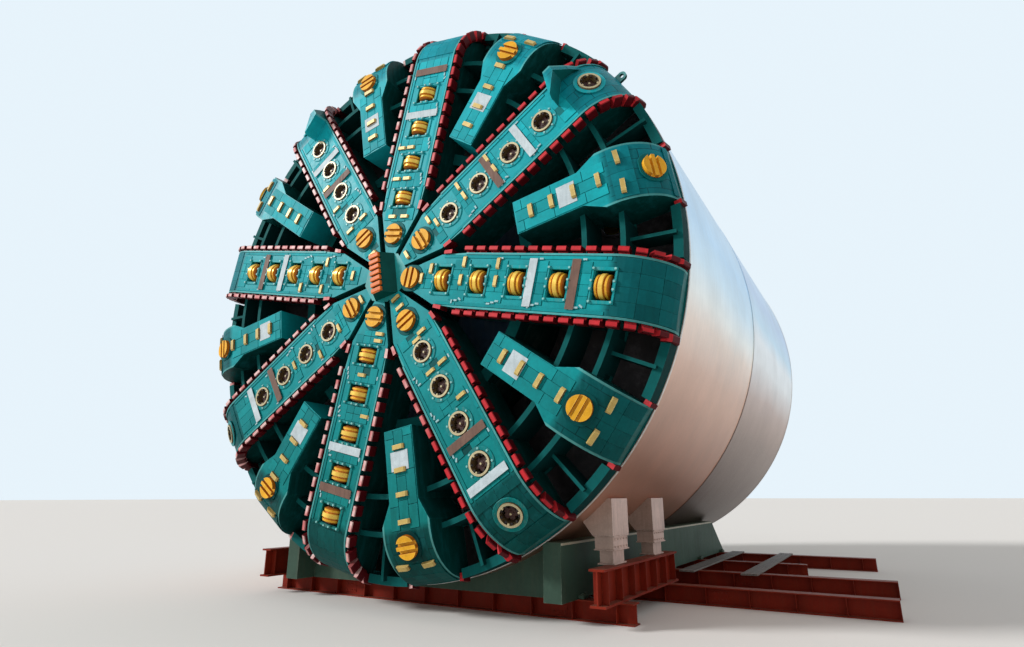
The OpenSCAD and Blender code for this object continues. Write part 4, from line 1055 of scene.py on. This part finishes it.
def webTrims():
    # Valve blocks, ring pipes and bolt circles on the web that carries the erector
    web = {"y": 8.4, "blockAt": 6.65, "size": (0.55, 0.26, 0.42), "pipes": (7.36, 7.46), "track": 13.2}
    bm = newShape()
    valve = block(web["size"], 0.02)
    stub = rod(0.03, 0.14, 8)
    bolt = rod(0.03, 0.035, 6)
    for place in circle(12, web["blockAt"], web["y"] + web["size"][1] / 2, skip=((270, 1),)):
        stamp(bm, valve, place, 1)
        stamp(bm, stub, [place @ at(x, 0.12, z) for x in (-0.18, 0, 0.18) for z in (-0.1, 0.1)])
    for radius in web["pipes"]:
        stamp(bm, hoop(radius, (0.05, 0.05), 128), row(axle, web["y"] + 0.1))
    stamp(bm, bolt, circle(64, 7.62, web["y"] - 0.002))
    stamp(bm, bolt, circle(72, 5.1, web["track"] - 0.033, skip=[(30 * k, 1) for k in range(12)]))
    finishPiece("valveBlocks", bm, ["pipeSteel", "boxGreen"], smooth=40)


def erectorTrims():
    # Toothed rack and bolts on the turning ring, pads and pin on the arm's plate
    ring = {"outer": 5.25, "y": 13.5003, "long": 0.7, "teeth": 150, "bolts": (4.72, 5.12)}
    bm = newShape()
    tooth = block((0.07, 0.16, 0.11), 0.012)
    bolt = rod(0.035, 0.04, 6)
    stamp(bm, tooth, circle(ring["teeth"], ring["outer"] + 0.03, ring["y"] + 0.15, skip=((90, 9),)))
    for radius in ring["bolts"]:
        stamp(bm, bolt, circle(60, radius, ring["y"] + ring["long"] - 0.003, skip=((90, 10),)))
    finishPiece("erectorRack", bm, ["pipeSteel"], "erector")
    hand = {"top": head["axis"] + 6.57, "brace": head["axis"] + 6.09}
    arm = newShape()
    pads = [at(x, y, hand["top"]) for x in (-0.45, 0.45) for y in (13.55, 14.15)]
    stamp(arm, block((0.6, 0.3, 0.04), 0.01), pads)
    stamp(arm, block((0.16, 0.16, 0.04), 0.012), at(0, 13.85, hand["top"]), 1)
    braces = [at(x, y, hand["brace"]) for x in (-0.6, 0.6) for y in (13.66, 14.04)]
    stamp(arm, block((0.3, 0.05, 0.42), 0.008), braces, 2)
    finishPiece("erectorPads", arm, ["padBlack", "pipeSteel", "erectorOrange"], "erector_hand")


def screwTrims():
    # Flange bolts and hoops along the screw conveyor
    screw = {"radius": 0.8, "drop": 6.7, "start": 3.2, "slope": 18, "long": 16, "flanges": (4, 8, 12),
             "bands": (2, 3, 5, 6, 7, 9, 10, 11, 13, 13.9)}
    bm = newShape()
    place = at(0, screw["start"], head["axis"] - screw["drop"]) @ turned(screw["slope"], "X")
    bolt = rod(0.025, 0.03, 6)
    for flange in screw["flanges"]:
        for y in (flange + 0.119, flange - 0.029):
            stamp(bm, bolt, circle(28, screw["radius"] + 0.042, y, place), 1)
    stamp(bm, hoop(screw["radius"] + 0.012, (0.03, 0.05), 48), row(place, *screw["bands"]))
    stamp(bm, bolt, circle(24, screw["radius"] + 0.02, screw["long"] - 0.002, place), 1)
    finishPiece("screwBands", bm, ["conveyorGrey", "pipeSteel"], smooth=40)


motorTrims()
driveTrims()
jackTrims()
webTrims()
erectorTrims()
screwTrims()
print("inside of the shield finished")


def studio():
    room = {"size": 900, "floor": (0.74, 0.72, 0.69), "sky": (0.8, 0.9, 0.97), "ambient": 0.58, "sun": 2.8,
            "soft": 12, "from": (-0.7, -0.58, 0.48)}
    bm = bmesh.new()
    bmesh.ops.create_grid(bm, x_segments=1, y_segments=1, size=room["size"])
    mesh = toMesh(bm, "studioFloor")
    (material, shader), place = newMaterial("studioFloor")
    feed(shader.inputs["Base Color"], room["floor"])
    feed(shader.inputs["Roughness"], 0.9)
    feed(shader.inputs["Specular IOR Level"], 0.1)
    mesh.materials.append(material)
    floor = newObject("studioFloor", mesh)
    world = bpy.data.worlds.new("studioWorld")
    bpy.context.scene.world = world
    world.use_nodes = True
    tree = world.node_tree
    tree.nodes.clear()
    path = put("LightPath", tree)
    mirrored = maths("MAXIMUM", path["Is Glossy Ray"], path["Is Transmission Ray"])
    seen = maths("MAXIMUM", path["Is Camera Ray"], mirrored)
    near = put("Background", tree, Color=(1, 1, 1), Strength=room["ambient"])[0]
    far = put("Background", tree, Color=room["sky"], Strength=1)[0]
    both = put("MixShader", i0=seen, i1=near, i2=far)[0]
    feed(tree.nodes.new("ShaderNodeOutputWorld").inputs["Surface"], both)
    lamp = bpy.data.lights.new("softKey", "SUN")
    lamp.energy = room["sun"]
    lamp.angle = math.radians(room["soft"])
    newObject("softKey", lamp).rotation_euler = Vector(room["from"]).to_track_quat("Z", "Y").to_euler()
    bpy.context.scene.view_settings.view_transform = "Standard"


studio()
print("studio lit")
